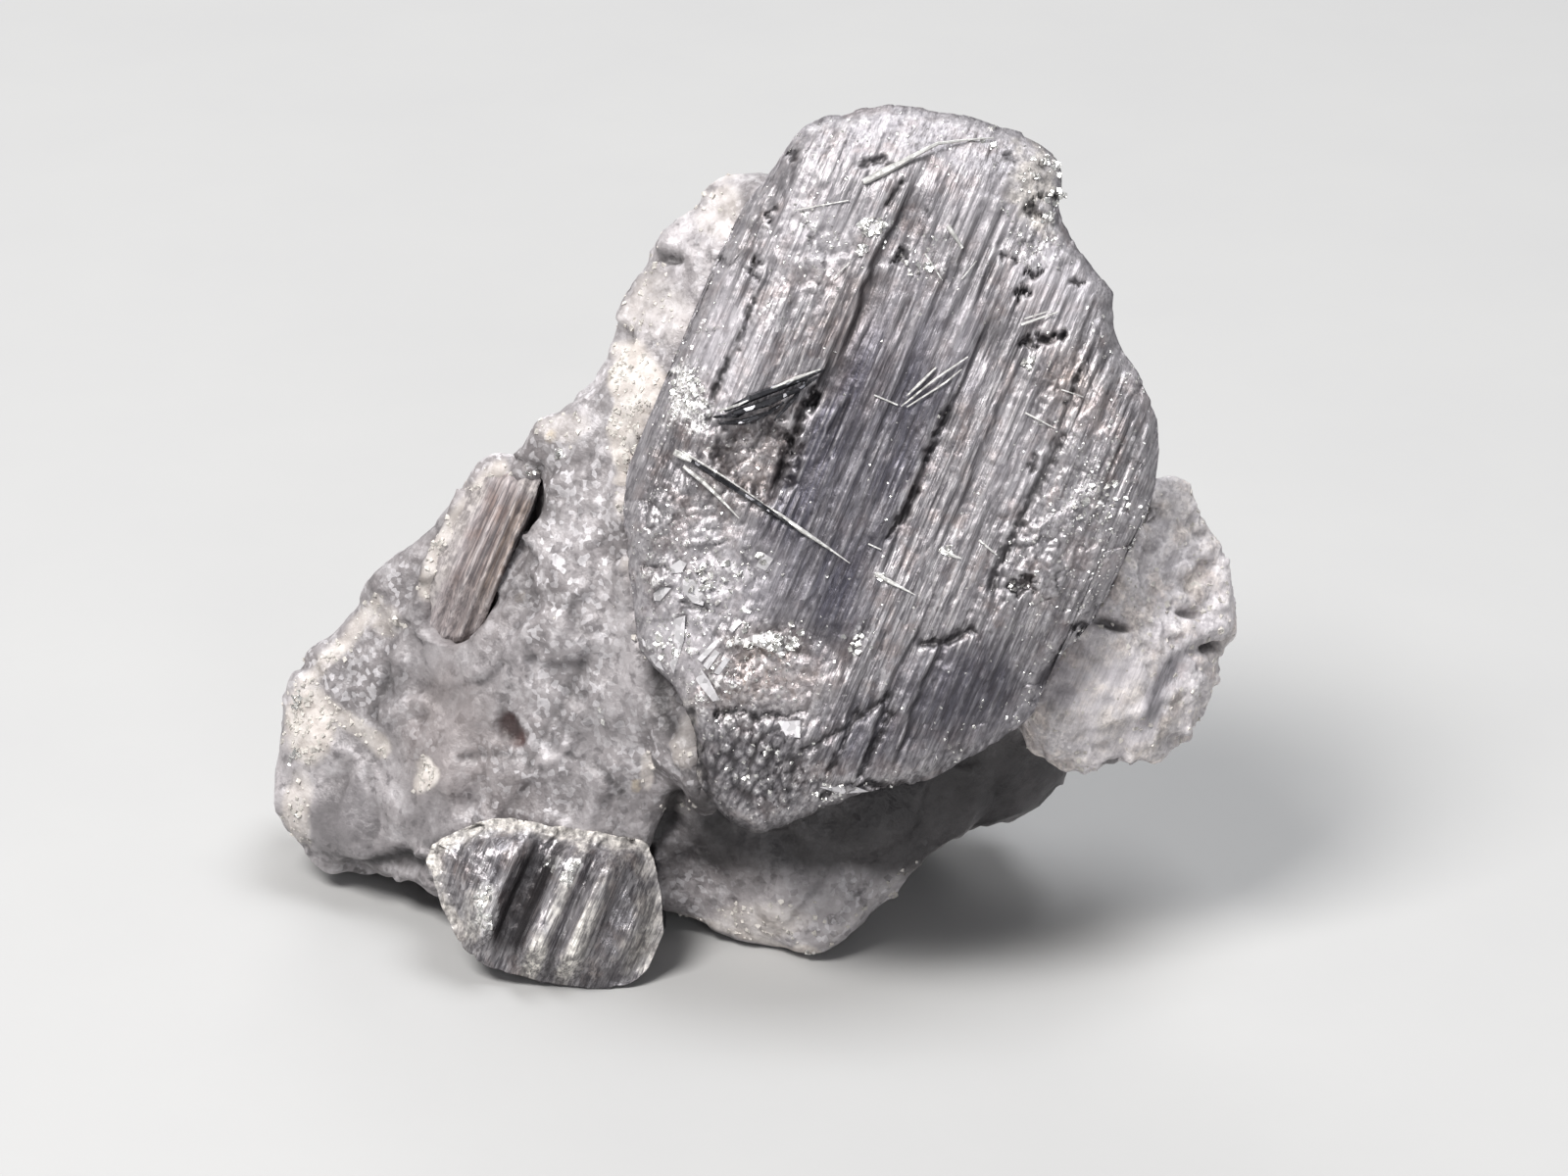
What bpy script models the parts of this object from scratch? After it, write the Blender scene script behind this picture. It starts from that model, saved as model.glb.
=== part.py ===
"""Andorite specimen: striated silver-grey crystals grown together on a lump of pale matrix rock.

Run it with: blender --background --python part.py

Every piece is drawn in the frame of the big crystal's face, in millimetres: u runs to the right across
the face, v runs up it and w comes out of it. An empty leans that frame back and lifts it, and the broken
foot of the rock is cut flat where the specimen rests, at z = 0. Four crystals sit in pockets of the matrix.
"""

import math

import bmesh
import bpy
from mathutils import Vector, noise
from mathutils.geometry import intersect_point_line

MM = 0.001
FACE_LEAN = math.radians(25)  # the big face leans back from upright by this much
FACE_CENTRE = (3.96, -4.14, 15.3)  # where the middle of the big face is, in mm
STRIAE_LEAN = math.radians(23)  # the striae lean to the right of straight up the face
GAP = 0.3  # clearance of a crystal in its pocket, in mm

SLAB_THICK = 5.2
SLAB_LEVELS = (0.9, 2.6, 4.3)  # depths of the rings of points round the slab's rim
SLAB_STRIPE = 0.55  # distance between cuts along the striae
SLAB_STEP = 1.15  # distance between cuts across the striae

# The big crystal's face, clockwise from its upper left corner: (u, v).
SLAB_OUTLINE = (
    (-2.4, 9.4), (-1.0, 9.85), (0.0, 10.1), (0.9, 9.85), (2.8, 9.45), (3.9, 8.85), (4.6, 8.2), (4.55, 7.1),
    (5.2, 6.1), (6.1, 4.95), (6.2, 3.75), (6.7, 2.9), (7.2, 1.85), (7.4, 0.8), (7.3, -0.1), (7.1, -1.3),
    (6.4, -2.6), (5.6, -4.1), (4.8, -5.0), (4.3, -5.7), (3.9, -6.7), (3.1, -7.35), (1.6, -8.2), (0.8, -8.6),
    (-0.7, -8.8), (-1.6, -9.2), (-2.7, -9.7), (-3.5, -10.0), (-4.3, -9.8), (-4.9, -9.2), (-5.4, -8.4),
    (-5.5, -7.2), (-5.9, -6.1), (-6.9, -5.0), (-7.1, -4.0), (-7.3, -2.1), (-7.4, -0.9), (-7.25, 0.3),
    (-6.9, 1.2), (-6.4, 2.4), (-5.4, 4.7), (-4.2, 7.1), (-3.3, 8.3),
)

# Faces that bevel the slab's front: bearing in degrees from +u towards +v, reach from the centre and
# steepness.
FRONT_BEVELS = (
    (157, 5.0, 1.0),
    (196, 6.3, 0.9),
    (236, 7.6, 0.8),
    (254, 8.6, 0.9),
    (302, 6.2, 0.5),
    (318, 4.9, 0.5),
    (350, 5.9, 0.6),
    (28, 6.0, 0.7),
    (62, 8.0, 0.8),
    (84, 7.8, 0.5),
    (112, 8.2, 0.8),
)
BACK_BEVELS = (
    (35, 6.0, 0.45),
    (100, 8.0, 0.5),
    (170, 6.2, 0.4),
    (250, 8.0, 0.5),
    (325, 5.0, 0.5),
)

# Ledges along the striae: place across them, from and to along them, drop, and the run in which the face
# recovers.
LEDGES = (
    (-5.2, -0.6, 5.3, 0.25, 0.8),
    (-2.6, -1.7, 5.8, 0.60, 1.3),
    (0.75, -2.3, 4.7, 0.45, 1.1),
    (2.3, -7.8, -3.8, 0.35, 0.7),
    (3.1, -7.7, -3.9, 0.40, 0.8),
    (3.7, -1.1, 4.9, 0.40, 0.9),
    (4.65, 1.5, 5.5, 0.35, 0.8),
)
LEDGE_WIDTH = 0.12

# Broken hollows in the face: centre (u, v), half-width, half-height and depth.
HOLLOWS = (
    (-3.6, 0.4, 0.95, 1.15, 0.75),
    (1.3, -4.7, 1.0, 0.5, 0.45),
    (5.2, -4.1, 0.8, 0.5, 0.6),
    (4.1, 3.6, 0.7, 0.5, 0.35),
)
# Where the face is broken rough and the striae are lost: centre (u, v), half-width, half-height, depth,
# lumpiness.
ROUGH_AREAS = (
    (-5.6, -2.9, 2.0, 2.9, 0.35, 0.22),
    (-4.0, -5.9, 2.5, 2.1, 0.25, 0.25),
    (-3.5, -8.4, 2.2, 1.6, 0.10, 0.35),
)

# Lumps of the matrix, each the convex hull of its corners (u, v, w).
SHOULDER = (  # the upper left slope, from the seam beside the big crystal out to the left
    (-7.9, 2.7, -4.2), (-8.5, 2.4, -4.8), (-8.9, 1.8, -5.2), (-10.0, 0.8, -5.7), (-11.2, 0.0, -6.2),
    (-13.1, -1.4, -7.0), (-13.8, -2.1, -7.3), (-14.8, -2.8, -7.9), (-15.2, -3.3, -8.2),
    (-15.3, -4.2, -8.4), (-13.5, -5.7, -6.9), (-10.7, -6.0, -5.4), (-7.3, -5.4, -4.0), (-7.5, -2.1, -3.6),
    (-7.4, 0.9, -3.6), (-6.9, 2.3, -3.9), (-7.5, 1.9, -9.5), (-10.9, -0.9, -11.0), (-14.4, -3.8, -11.8),
    (-7.5, -6.1, -12.5),
)
LEFT_FOOT = (  # the lower left corner, whose underside overhangs the floor a little
    (-15.2, -4.2, -8.3), (-16.4, -5.5, -8.7), (-16.9, -6.0, -8.9), (-17.4, -6.3, -9.2),
    (-17.5, -7.7, -9.4), (-17.6, -8.9, -9.6), (-17.5, -10.0, -9.8), (-16.9, -10.7, -9.9),
    (-16.5, -11.1, -9.9), (-16.0, -11.4, -9.7), (-14.8, -11.2, -9.0), (-13.9, -11.5, -8.4),
    (-13.3, -11.8, -7.9), (-11.8, -10.1, -6.3), (-12.1, -5.7, -6.2), (-13.5, -4.6, -6.9),
    (-15.6, -6.0, -8.2), (-17.4, -6.7, -12.5), (-17.4, -9.8, -13.0), (-16.3, -11.1, -13.6),
    (-13.2, -10.5, -14.6), (-13.3, -5.5, -13.0),
)
LEFT_CORE = (  # the lumpy face between the fluted crystal and the big one
    (-12.4, -5.7, -6.2), (-10.4, -4.3, -5.2), (-7.3, -4.3, -3.9), (-6.9, -5.9, -3.9), (-6.0, -7.1, -4.2),
    (-5.9, -8.1, -4.6), (-6.0, -9.0, -5.0), (-6.5, -9.9, -5.6), (-7.0, -10.4, -6.0), (-9.6, -10.9, -6.2),
    (-13.0, -11.0, -6.9), (-13.3, -11.8, -7.8), (-9.7, -12.5, -9.5), (-6.9, -11.7, -9.0),
    (-11.6, -5.8, -13.5), (-7.6, -5.8, -13.5), (-12.6, -10.5, -14.6), (-7.3, -10.5, -14.6),
)
BACKBONE = (  # the rock behind the big crystal
    (-5.7, 5.1, -5.6), (-6.8, 1.8, -5.2), (-7.3, -3.2, -5.4), (-5.7, -7.6, -5.4), (-0.2, -7.9, -5.6),
    (3.7, -6.0, -5.6), (5.6, -2.1, -5.8), (5.6, 2.9, -5.8), (3.7, 6.2, -5.8), (-0.7, 7.6, -5.8),
    (-3.2, 7.0, -5.6), (-2.9, 5.3, -8.6), (2.1, 4.4, -8.6), (4.2, -0.3, -9.8), (2.8, -5.5, -12.5),
    (-5.8, 1.9, -9.6), (-7.0, -4.6, -12.8), (-0.6, -0.9, -11.2),
)
CORE = (  # the bulk of the rock, between the backbone and the foot
    (-7.2, -2.6, -6.0), (-5.6, -8.8, -6.0), (0.2, -8.9, -6.0), (3.9, -6.9, -6.0), (5.2, -3.0, -6.4),
    (4.4, -7.3, -9.0), (1.4, -9.6, -12.0), (-6.0, -10.2, -11.0), (-7.2, -3.4, -13.2), (3.4, -3.2, -11.6),
    (2.0, -7.4, -14.6), (-6.8, -8.2, -16.4), (-1.6, 0.4, -11.2), (-11.6, -6.6, -13.6), (-12.4, -8.8, -15.4),
)
SLIVER_TOP = (  # the thin rock along the big crystal's upper left side
    (-3.4, 8.8, -4.6), (-3.7, 8.7, -4.9), (-4.5, 8.2, -5.0), (-4.9, 7.9, -5.1), (-5.0, 7.5, -5.1),
    (-5.7, 6.1, -4.6), (-4.7, 6.5, -4.0), (-4.0, 7.6, -4.0), (-3.5, 8.0, -4.2), (-3.2, 7.9, -6.8),
    (-4.0, 7.5, -7.2), (-5.2, 6.2, -7.2),
)
SLIVER = (  # the same strip lower down, where it is broad
    (-5.2, 7.1, -4.9), (-6.6, 5.8, -5.0), (-6.9, 5.3, -5.1), (-7.0, 5.0, -5.1), (-7.5, 4.3, -5.1),
    (-7.6, 3.9, -5.0), (-7.7, 3.4, -4.8), (-7.9, 2.9, -4.7), (-8.0, 2.5, -4.6), (-7.3, 1.2, -3.6),
    (-6.4, 2.6, -3.4), (-5.9, 4.2, -3.6), (-4.7, 6.5, -4.0), (-4.6, 7.0, -4.4), (-4.9, 6.9, -7.4),
    (-6.7, 5.2, -7.6), (-7.4, 3.8, -8.4), (-7.7, 2.5, -9.0), (-5.8, 2.5, -9.0),
)
KNOB = (  # a small knob on that strip
    (-5.8, 6.9, -4.9), (-6.3, 6.7, -5.2), (-6.5, 6.5, -5.3), (-6.5, 6.1, -5.2), (-5.7, 6.0, -4.6),
    (-5.2, 6.7, -4.8), (-6.0, 6.3, -6.6), (-5.4, 6.8, -6.8),
)
SEAM = (  # the bright rib of crust hugging the big crystal's left edge
    (-6.6, 2.4, -3.2), (-7.0, 1.8, -2.9), (-7.3, 1.1, -2.7), (-7.5, 0.1, -2.6), (-7.6, -1.0, -2.7),
    (-7.7, -2.1, -2.8), (-7.6, -3.2, -3.0), (-7.3, -4.3, -3.2), (-7.1, -5.2, -3.3), (-6.9, -5.9, -3.4),
    (-8.0, 0.4, -4.2), (-8.2, -1.6, -4.4), (-8.1, -3.2, -4.6), (-7.6, -5.1, -4.8), (-6.8, 1.8, -5.4),
    (-6.8, -6.0, -5.4), (-7.1, -2.1, -5.4),
)
SEAM_FOOT = (  # where the rib runs under the big crystal's lower tip
    (-7.1, -5.2, -3.3), (-6.4, -6.3, -3.2), (-5.8, -7.1, -3.0), (-5.7, -8.1, -3.1), (-5.5, -9.0, -3.3),
    (-4.7, -9.9, -3.4), (-5.9, -9.3, -4.4), (-6.3, -8.1, -4.2), (-6.9, -6.5, -4.2), (-5.4, -9.8, -5.6),
    (-5.7, -7.1, -5.6),
)
PLATE = (  # the slab under the big crystal, whose tip reaches the floor
    (-5.9, -9.4, -5.8), (-6.2, -10.6, -6.6), (-6.3, -11.4, -7.2), (-6.3, -12.2, -7.7), (-5.7, -12.6, -7.6),
    (-4.6, -13.1, -7.3), (-3.4, -13.5, -6.9), (-2.6, -13.8, -6.55), (-2.2, -13.9, -6.35),
    (-1.9, -13.8, -6.3), (-1.5, -13.2, -6.2), (-1.4, -12.8, -6.2), (-0.9, -12.4, -6.2),
    (-0.1, -11.7, -6.4), (0.6, -11.2, -6.6), (0.9, -10.9, -6.7), (0.7, -8.7, -5.6), (-5.1, -8.7, -5.4),
    (-6.1, -11.8, -12.5), (-2.1, -12.7, -12.0), (0.5, -10.4, -12.0),
)
PLATE_TAIL = (  # the slab's far end, in the shade below the side crystal
    (-0.2, -8.7, -5.8), (0.9, -10.9, -6.8), (1.5, -10.6, -7.4), (2.5, -10.2, -8.3), (3.5, -9.7, -8.9),
    (4.6, -9.3, -9.3), (5.2, -8.5, -9.2), (4.3, -7.1, -6.4), (2.6, -7.1, -5.8), (1.1, -10.1, -12.5),
    (4.0, -8.7, -12.5), (4.0, -6.6, -11.5),
)
BACK_FOOT = (  # the broad foot at the back, which carries the weight
    (-15.6, -9.0, -12.5), (-15.2, -10.5, -14.6), (-7.6, -11.3, -14.0), (-1.2, -11.8, -12.5),
    (1.7, -9.6, -13.0), (-9.9, -6.7, -14.5), (-1.2, -7.3, -14.6), (-12.4, -9.1, -16.6),
    (-5.9, -9.1, -17.4), (-0.6, -9.1, -16.4), (-8.7, -12.7, -11.5),
)
MATRIX_LUMPS = (
    SHOULDER, LEFT_FOOT, LEFT_CORE, BACKBONE, CORE, SLIVER_TOP, SLIVER, KNOB, SEAM, SEAM_FOOT, PLATE,
    PLATE_TAIL, BACK_FOOT,
)
MATRIX_VOXEL = 0.28
MATRIX_TRIANGLES = 4200

# The side crystal: the convex lumps of its crusted body, in a pocket beside the big crystal.
SIDE_LUMPS = (
    (
        (7.1, -0.5, -4.0), (7.6, 0.1, -3.6), (8.0, 0.1, -3.5), (8.4, -0.2, -3.6), (8.7, -0.5, -3.8),
        (8.8, -0.9, -3.9), (8.8, -1.2, -4.0), (9.2, -2.0, -4.1), (9.3, -2.4, -4.1), (9.6, -2.8, -4.2),
        (9.7, -3.4, -4.3), (9.9, -3.8, -4.4), (9.4, -4.8, -4.0), (6.5, -4.8, -2.4), (5.7, -4.3, -2.6),
        (6.3, -2.1, -2.6), (7.0, -1.3, -3.0), (7.7, -0.9, -7.4), (9.0, -2.1, -7.8), (9.4, -4.3, -8.0),
        (6.0, -4.3, -8.0),
    ),
    (
        (9.6, -4.3, -4.2), (9.4, -4.9, -4.1), (9.2, -5.2, -4.1), (9.0, -5.8, -4.1), (8.9, -6.2, -4.1),
        (8.6, -6.5, -4.1), (8.4, -7.0, -4.1), (8.4, -7.5, -4.0), (8.0, -7.8, -3.9), (7.2, -8.2, -3.8),
        (6.5, -8.3, -3.7), (5.5, -8.2, -3.7), (5.0, -8.2, -3.8), (4.5, -8.1, -3.9), (4.1, -7.8, -4.0),
        (3.9, -7.3, -3.9), (5.2, -4.8, -2.6), (6.8, -4.3, -2.0), (7.4, -6.4, -2.5), (5.5, -6.7, -2.5),
        (4.4, -7.0, -3.0), (9.3, -4.6, -8.0), (8.4, -7.1, -7.6), (6.8, -7.8, -7.2), (4.9, -7.7, -7.4),
        (5.8, -4.6, -8.4),
    ),
)
SIDE_VOXEL = 0.3
SIDE_TRIANGLES = 1200

# The fluted crystal: its outline clockwise from the left, (u, v), and the profile of its flutes across the
# striae.
FLUTED_OUTLINE = (
    (-13.0, -10.5), (-12.0, -9.9), (-10.9, -9.6), (-9.9, -9.7), (-8.8, -9.9), (-8.1, -10.0), (-7.0, -10.2),
    (-6.6, -10.6), (-6.4, -11.4), (-6.3, -12.2), (-6.3, -13.1), (-6.6, -13.8), (-7.1, -14.3), (-8.2, -14.5),
    (-9.3, -14.4), (-10.6, -14.1), (-11.6, -13.7), (-12.2, -13.0), (-12.6, -12.2), (-12.9, -11.3),
)
FLUTED_PROFILE = (  # across the striae, and height above the crystal's middle
    (-8.2, -2.0), (-7.4, -1.1), (-6.6, -0.5), (-5.95, -0.25), (-5.3, -0.3), (-5.15, -0.9), (-4.5, -0.95),
    (-4.3, -0.25), (-4.05, 0.0), (-3.6, -0.02), (-3.45, -0.5), (-3.3, -0.5), (-3.15, -0.05), (-2.7, -0.1),
    (-2.5, -0.6), (-1.9, -0.65), (-1.5, -0.6), (-1.2, -0.8), (-0.7, -1.5), (-0.2, -2.3),
)
FLUTED_FRONT = -4.0
FLUTED_BACK = -9.2
FLUTED_STEP = 1.3
FLUTED_RIM = 1.1  # width of the rounded rim round the flutes

# The dark blade lies along the striae, so it is one cross-section, (across, out), drawn out along them.
BLADE_SECTION = (
    (-0.9, -0.85), (-0.65, -0.5), (-0.4, -0.56), (-0.15, -0.22), (0.1, -0.28), (0.3, 0.04), (0.55, -0.04),
    (0.82, 0.16), (0.86, -0.4), (0.7, -1.4), (-0.75, -1.6),
)
BLADE_PLACE = (-11.4, -2.1, -5.2)
BLADE_LENGTH = 5.2

FLOOR_REACH = 60.0  # side of the block that cuts the foot flat

FINISHES = {  # colour, roughness, metallic
    "andorite_crystal": ((0.16, 0.16, 0.18), 0.34, 0.9),
    "side_crystal": ((0.42, 0.40, 0.40), 0.55, 0.4),
    "fluted_crystal": ((0.14, 0.14, 0.145), 0.3, 0.8),
    "blade_crystal": ((0.21, 0.185, 0.18), 0.4, 0.7),
    "matrix": ((0.46, 0.44, 0.435), 0.75, 0.1),
}


def clear_scene():
    for obj in list(bpy.data.objects):
        bpy.data.objects.remove(obj)


def new_collection(name):
    collection = bpy.data.collections.new(name)
    bpy.context.scene.collection.children.link(collection)
    return collection


def finish_of(name):
    """The Principled material of one piece."""
    colour, roughness, metallic = FINISHES[name]
    material = bpy.data.materials.new(name)
    material.use_nodes = True
    shader = material.node_tree.nodes["Principled BSDF"]
    shader.inputs["Base Color"].default_value = (*colour, 1)
    shader.inputs["Roughness"].default_value = roughness
    shader.inputs["Metallic"].default_value = metallic
    return material


def object_of(name, bm, collection, frame):
    """An object in the leaning frame from a bmesh drawn in millimetres."""
    bm.normal_update()
    bmesh.ops.recalc_face_normals(bm, faces=bm.faces)
    if bm.calc_volume(signed=True) < 0:
        bmesh.ops.reverse_faces(bm, faces=bm.faces)
    bmesh.ops.scale(bm, verts=bm.verts, vec=(MM, MM, MM))
    mesh = bpy.data.meshes.new(name)
    bm.to_mesh(mesh)
    bm.free()
    obj = bpy.data.objects.new(name, mesh)
    obj.parent = frame
    collection.objects.link(obj)
    return obj


def make_cutter(obj):
    obj.hide_render = True
    obj.display_type = "WIRE"


def add_boolean(obj, cutter):
    boolean = obj.modifiers.new(cutter.name, "BOOLEAN")
    boolean.operation = "DIFFERENCE"
    boolean.solver = "EXACT"
    boolean.object = cutter


def settle(obj):
    """Applies the modifiers and keeps the largest body that they leave."""
    bpy.context.view_layer.update()
    graph = bpy.context.evaluated_depsgraph_get()
    mesh = bpy.data.meshes.new_from_object(obj.evaluated_get(graph))
    obj.modifiers.clear()
    bm = bmesh.new()
    bm.from_mesh(mesh)
    bodies = islands(bm)
    for body in sorted(bodies, key=len)[:-1]:
        bmesh.ops.delete(bm, geom=list(body), context="VERTS")
    bm.to_mesh(mesh)
    bm.free()
    obj.data = mesh


def islands(bm):
    """The sets of points that hang together."""
    left, found = set(bm.verts), []
    while left:
        body, front = set(), [left.pop()]
        while front:
            point = front.pop()
            body.add(point)
            near = {edge.other_vert(point) for edge in point.link_edges} & left
            left -= near
            front.extend(near)
        found.append(body)
    return found


def along_striae(along, across):
    """(u, v) of a place given along and across the striae."""
    sine, cosine = math.sin(STRIAE_LEAN), math.cos(STRIAE_LEAN)
    return along * sine + across * cosine, along * cosine - across * sine


def striae_place(u, v):
    """(along, across) the striae of a place on the face."""
    sine, cosine = math.sin(STRIAE_LEAN), math.cos(STRIAE_LEAN)
    return u * sine + v * cosine, u * cosine - v * sine


def smooth(value, low, high):
    """0 below low, 1 above high, and a smooth step in between."""
    share = min(1.0, max(0.0, (value - low) / (high - low)))
    return share * share * (3 - 2 * share)


def grown(outline, distance):
    """A clockwise outline moved outwards by a distance."""
    points = [Vector(p) for p in outline]
    moved = []
    for i, point in enumerate(points):
        run = (points[(i + 1) % len(points)] - points[i - 1]).normalized()
        moved.append(point + Vector((-run.y, run.x)) * distance)
    return moved


def prism(outline, low, high):
    """A closed prism of an outline between two depths."""
    bm = bmesh.new()
    face = bm.faces.new([bm.verts.new((*p, low)) for p in outline])
    walls = bmesh.ops.extrude_face_region(bm, geom=[face], use_keep_orig=True)
    top = [v for v in walls["geom"] if isinstance(v, bmesh.types.BMVert)]
    bmesh.ops.translate(bm, verts=top, vec=(0, 0, high - low))
    return bm


def slice_mesh(bm, point, normal):
    """Adds a ring of edges where a plane meets the mesh."""
    geometry = bm.verts[:] + bm.edges[:] + bm.faces[:]
    bmesh.ops.bisect_plane(bm, geom=geometry, dist=1e-5, plane_co=point, plane_no=normal)


def bevel_fall(u, v, bevels):
    """How far the steepest bevel takes the face down at a place."""
    fall = 0.0
    for bearing, reach, steepness in bevels:
        angle = math.radians(bearing)
        beyond = u * math.cos(angle) + v * math.sin(angle) - reach
        fall = max(fall, beyond * steepness)
    return fall


def rim_distance(outline, u, v):
    """Distance of a place from an outline."""
    place = Vector((u, v))
    nearest = math.inf
    for i, start in enumerate(outline):
        a, b = Vector(outline[i - 1]), Vector(start)
        closest, share = intersect_point_line(place, a, b)
        closest = a.lerp(b, min(1.0, max(0.0, share)))
        nearest = min(nearest, (place - closest.to_2d()).length)
    return nearest


def oval_mask(u, v, centre_u, centre_v, half_u, half_v):
    """1 inside an oval, falling to 0 just outside it."""
    reach = math.hypot((u - centre_u) / half_u, (v - centre_v) / half_v)
    return 1 - smooth(reach, 0.55, 1.15)


def ledge_drop(u, v):
    """Depth below the face left by the ledges and flutes that run along the striae."""
    along, across = striae_place(u, v)
    drop = 0.07 + 0.07 * noise.noise(Vector((across * 3.1, along * 0.05, 4.0)))
    for place, start, end, depth, run in LEDGES:
        past = across - place
        if past > -LEDGE_WIDTH / 2:
            ends = smooth(along, start - 0.5, start + 0.4) * (1 - smooth(along, end - 0.4, end + 0.5))
            drop += depth * ends * max(0.0, 1 - past / run)
    return drop


def face_relief(u, v):
    """Depth of the big crystal's front at a place, below the flat of its face."""
    rough = 0.0
    sunk = 0.0
    for centre_u, centre_v, half_u, half_v, depth, lumps in ROUGH_AREAS:
        mask = oval_mask(u, v, centre_u, centre_v, half_u, half_v)
        bump = 0.5 + 0.5 * noise.noise(Vector((u * 1.9, v * 1.9, 1.5)))
        rough = max(rough, mask)
        sunk = max(sunk, mask * (depth + lumps * bump))
    for centre_u, centre_v, half_u, half_v, depth in HOLLOWS:
        sunk = max(sunk, oval_mask(u, v, centre_u, centre_v, half_u, half_v) * depth)
    edge = 0.5 * (1 - smooth(rim_distance(SLAB_OUTLINE, u, v), 0.0, 0.8)) ** 2
    return bevel_fall(u, v, FRONT_BEVELS) + edge + (1 - rough) * ledge_drop(u, v) + sunk


def back_relief(u, v):
    """Depth taken off the big crystal's back."""
    return bevel_fall(u, v, BACK_BEVELS) + 0.15 + 0.15 * noise.noise(Vector((u * 0.9, v * 0.9, 8.0)))


def cut_grid(bm, stripes, step, depths):
    """Slices a prism along the striae at the stripes, across them at even steps, and at some depths."""
    across_way = Vector((*along_striae(0, 1), 0))
    along_way = Vector((*along_striae(1, 0), 0))
    for place in stripes:
        slice_mesh(bm, across_way * place, across_way)
    reach = [(vert.co.dot(along_way)) for vert in bm.verts]
    for i in range(math.ceil(min(reach) / step), math.ceil(max(reach) / step)):
        slice_mesh(bm, along_way * (i * step), along_way)
    for depth in depths:
        slice_mesh(bm, Vector((0, 0, -depth)), Vector((0, 0, 1)))


def slab_stripes():
    """Where the slab is sliced along the striae: evenly, and on both sides of every ledge."""
    count = int(13.0 / SLAB_STRIPE)
    even = [i * SLAB_STRIPE for i in range(-count, count + 1)]
    clear = [s for s in even if all(abs(s - place) > SLAB_STRIPE * 0.5 for place, *_ in LEDGES)]
    return clear + [place + side * LEDGE_WIDTH / 2 for place, *_ in LEDGES for side in (-1, 1)]


def shape_slab(bm):
    """Carves the flat slab into the crystal: front relief, back relief and a rim with broken flutes."""
    for vert in bm.verts:
        u, v, w = vert.co
        depth = -w / SLAB_THICK
        front = -face_relief(u, v)
        back = -SLAB_THICK + back_relief(u, v)
        inset = 0.0
        if rim_distance(SLAB_OUTLINE, u, v) < 1e-3:
            chip = noise.noise(Vector((u * 1.3, v * 1.3, w * 0.8)))
            inset = 0.12 * chip + 0.5 * max(0.0, depth - 0.55)
        pull = 1 - inset / math.hypot(u, v) if inset else 1.0
        vert.co = (u * pull, v * pull, front + (back - front) * depth)


def andorite_crystal(parts, cutters, frame):
    """The big striated crystal, and the cutter that makes its pocket."""
    bm = prism(SLAB_OUTLINE, -SLAB_THICK, 0.0)
    cut_grid(bm, slab_stripes(), SLAB_STEP, SLAB_LEVELS)
    shape_slab(bm)
    crystal = object_of("andorite_crystal", bm, parts, frame)
    pocket_mesh = prism(grown(SLAB_OUTLINE, GAP), -SLAB_THICK - GAP, 3.0)
    pocket = object_of("slab_pocket", pocket_mesh, cutters, frame)
    make_cutter(pocket)
    return crystal, pocket


def flute_height(across):
    """Height of the fluted crystal's front at a place across the striae."""
    for (low, first), (high, second) in zip(FLUTED_PROFILE, FLUTED_PROFILE[1:]):
        if low <= across <= high:
            return first + (second - first) * (across - low) / (high - low)
    return FLUTED_PROFILE[0][1] if across < FLUTED_PROFILE[0][0] else FLUTED_PROFILE[-1][1]


def fluted_crystal(parts, cutters, frame):
    """The fluted crystal at the foot, and the cutter that makes its pocket."""
    thick = FLUTED_FRONT - FLUTED_BACK
    bm = prism(FLUTED_OUTLINE, -thick, 0.0)
    cut_grid(bm, [place for place, _ in FLUTED_PROFILE], FLUTED_STEP, (thick * 0.3, thick * 0.65))
    for vert in bm.verts:
        u, v, w = vert.co
        depth = -w / thick
        rim = 1 - smooth(rim_distance(FLUTED_OUTLINE, u, v), 0.0, FLUTED_RIM)
        front = flute_height(striae_place(u, v)[1]) * (1 - rim) - FLUTED_RIM * rim
        vert.co.z = FLUTED_FRONT + front - (thick + front) * depth
    crystal = object_of("fluted_crystal", bm, parts, frame)
    pocket_mesh = prism(grown(FLUTED_OUTLINE, GAP), FLUTED_BACK - GAP, FLUTED_FRONT + 3.0)
    pocket = object_of("fluted_pocket", pocket_mesh, cutters, frame)
    make_cutter(pocket)
    return crystal, pocket


def hull(bm, corners):
    """Adds the convex hull of some corners to a bmesh."""
    verts = [bm.verts.new(corner) for corner in corners]
    made = bmesh.ops.convex_hull(bm, input=verts)
    spare = set(made["geom_interior"]) | set(made["geom_unused"])
    loose = [v for v in spare if isinstance(v, bmesh.types.BMVert)]
    bmesh.ops.delete(bm, geom=loose, context="VERTS")


def rock(name, lumps, voxel, triangles, roughness, parts, frame):
    """Overlapping lumps grown into one rock, weathered inwards, with about this many triangles."""
    bm = bmesh.new()
    for corners in lumps:
        hull(bm, corners)
    obj = object_of(name, bm, parts, frame)
    merge_lumps(obj, voxel)
    weather(obj.data, roughness)
    merge_lumps(obj, voxel)
    decimate = obj.modifiers.new("Decimate", "DECIMATE")
    decimate.ratio = min(1.0, triangles / triangle_count(obj.data))
    settle(obj)
    return obj


def merge_lumps(obj, voxel):
    """Turns overlapping lumps into one skin of even cells."""
    remesh = obj.modifiers.new("Remesh", "REMESH")
    remesh.mode = "VOXEL"
    remesh.voxel_size = voxel * MM
    settle(obj)


def triangle_count(mesh):
    return sum(len(p.vertices) - 2 for p in mesh.polygons)


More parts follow.
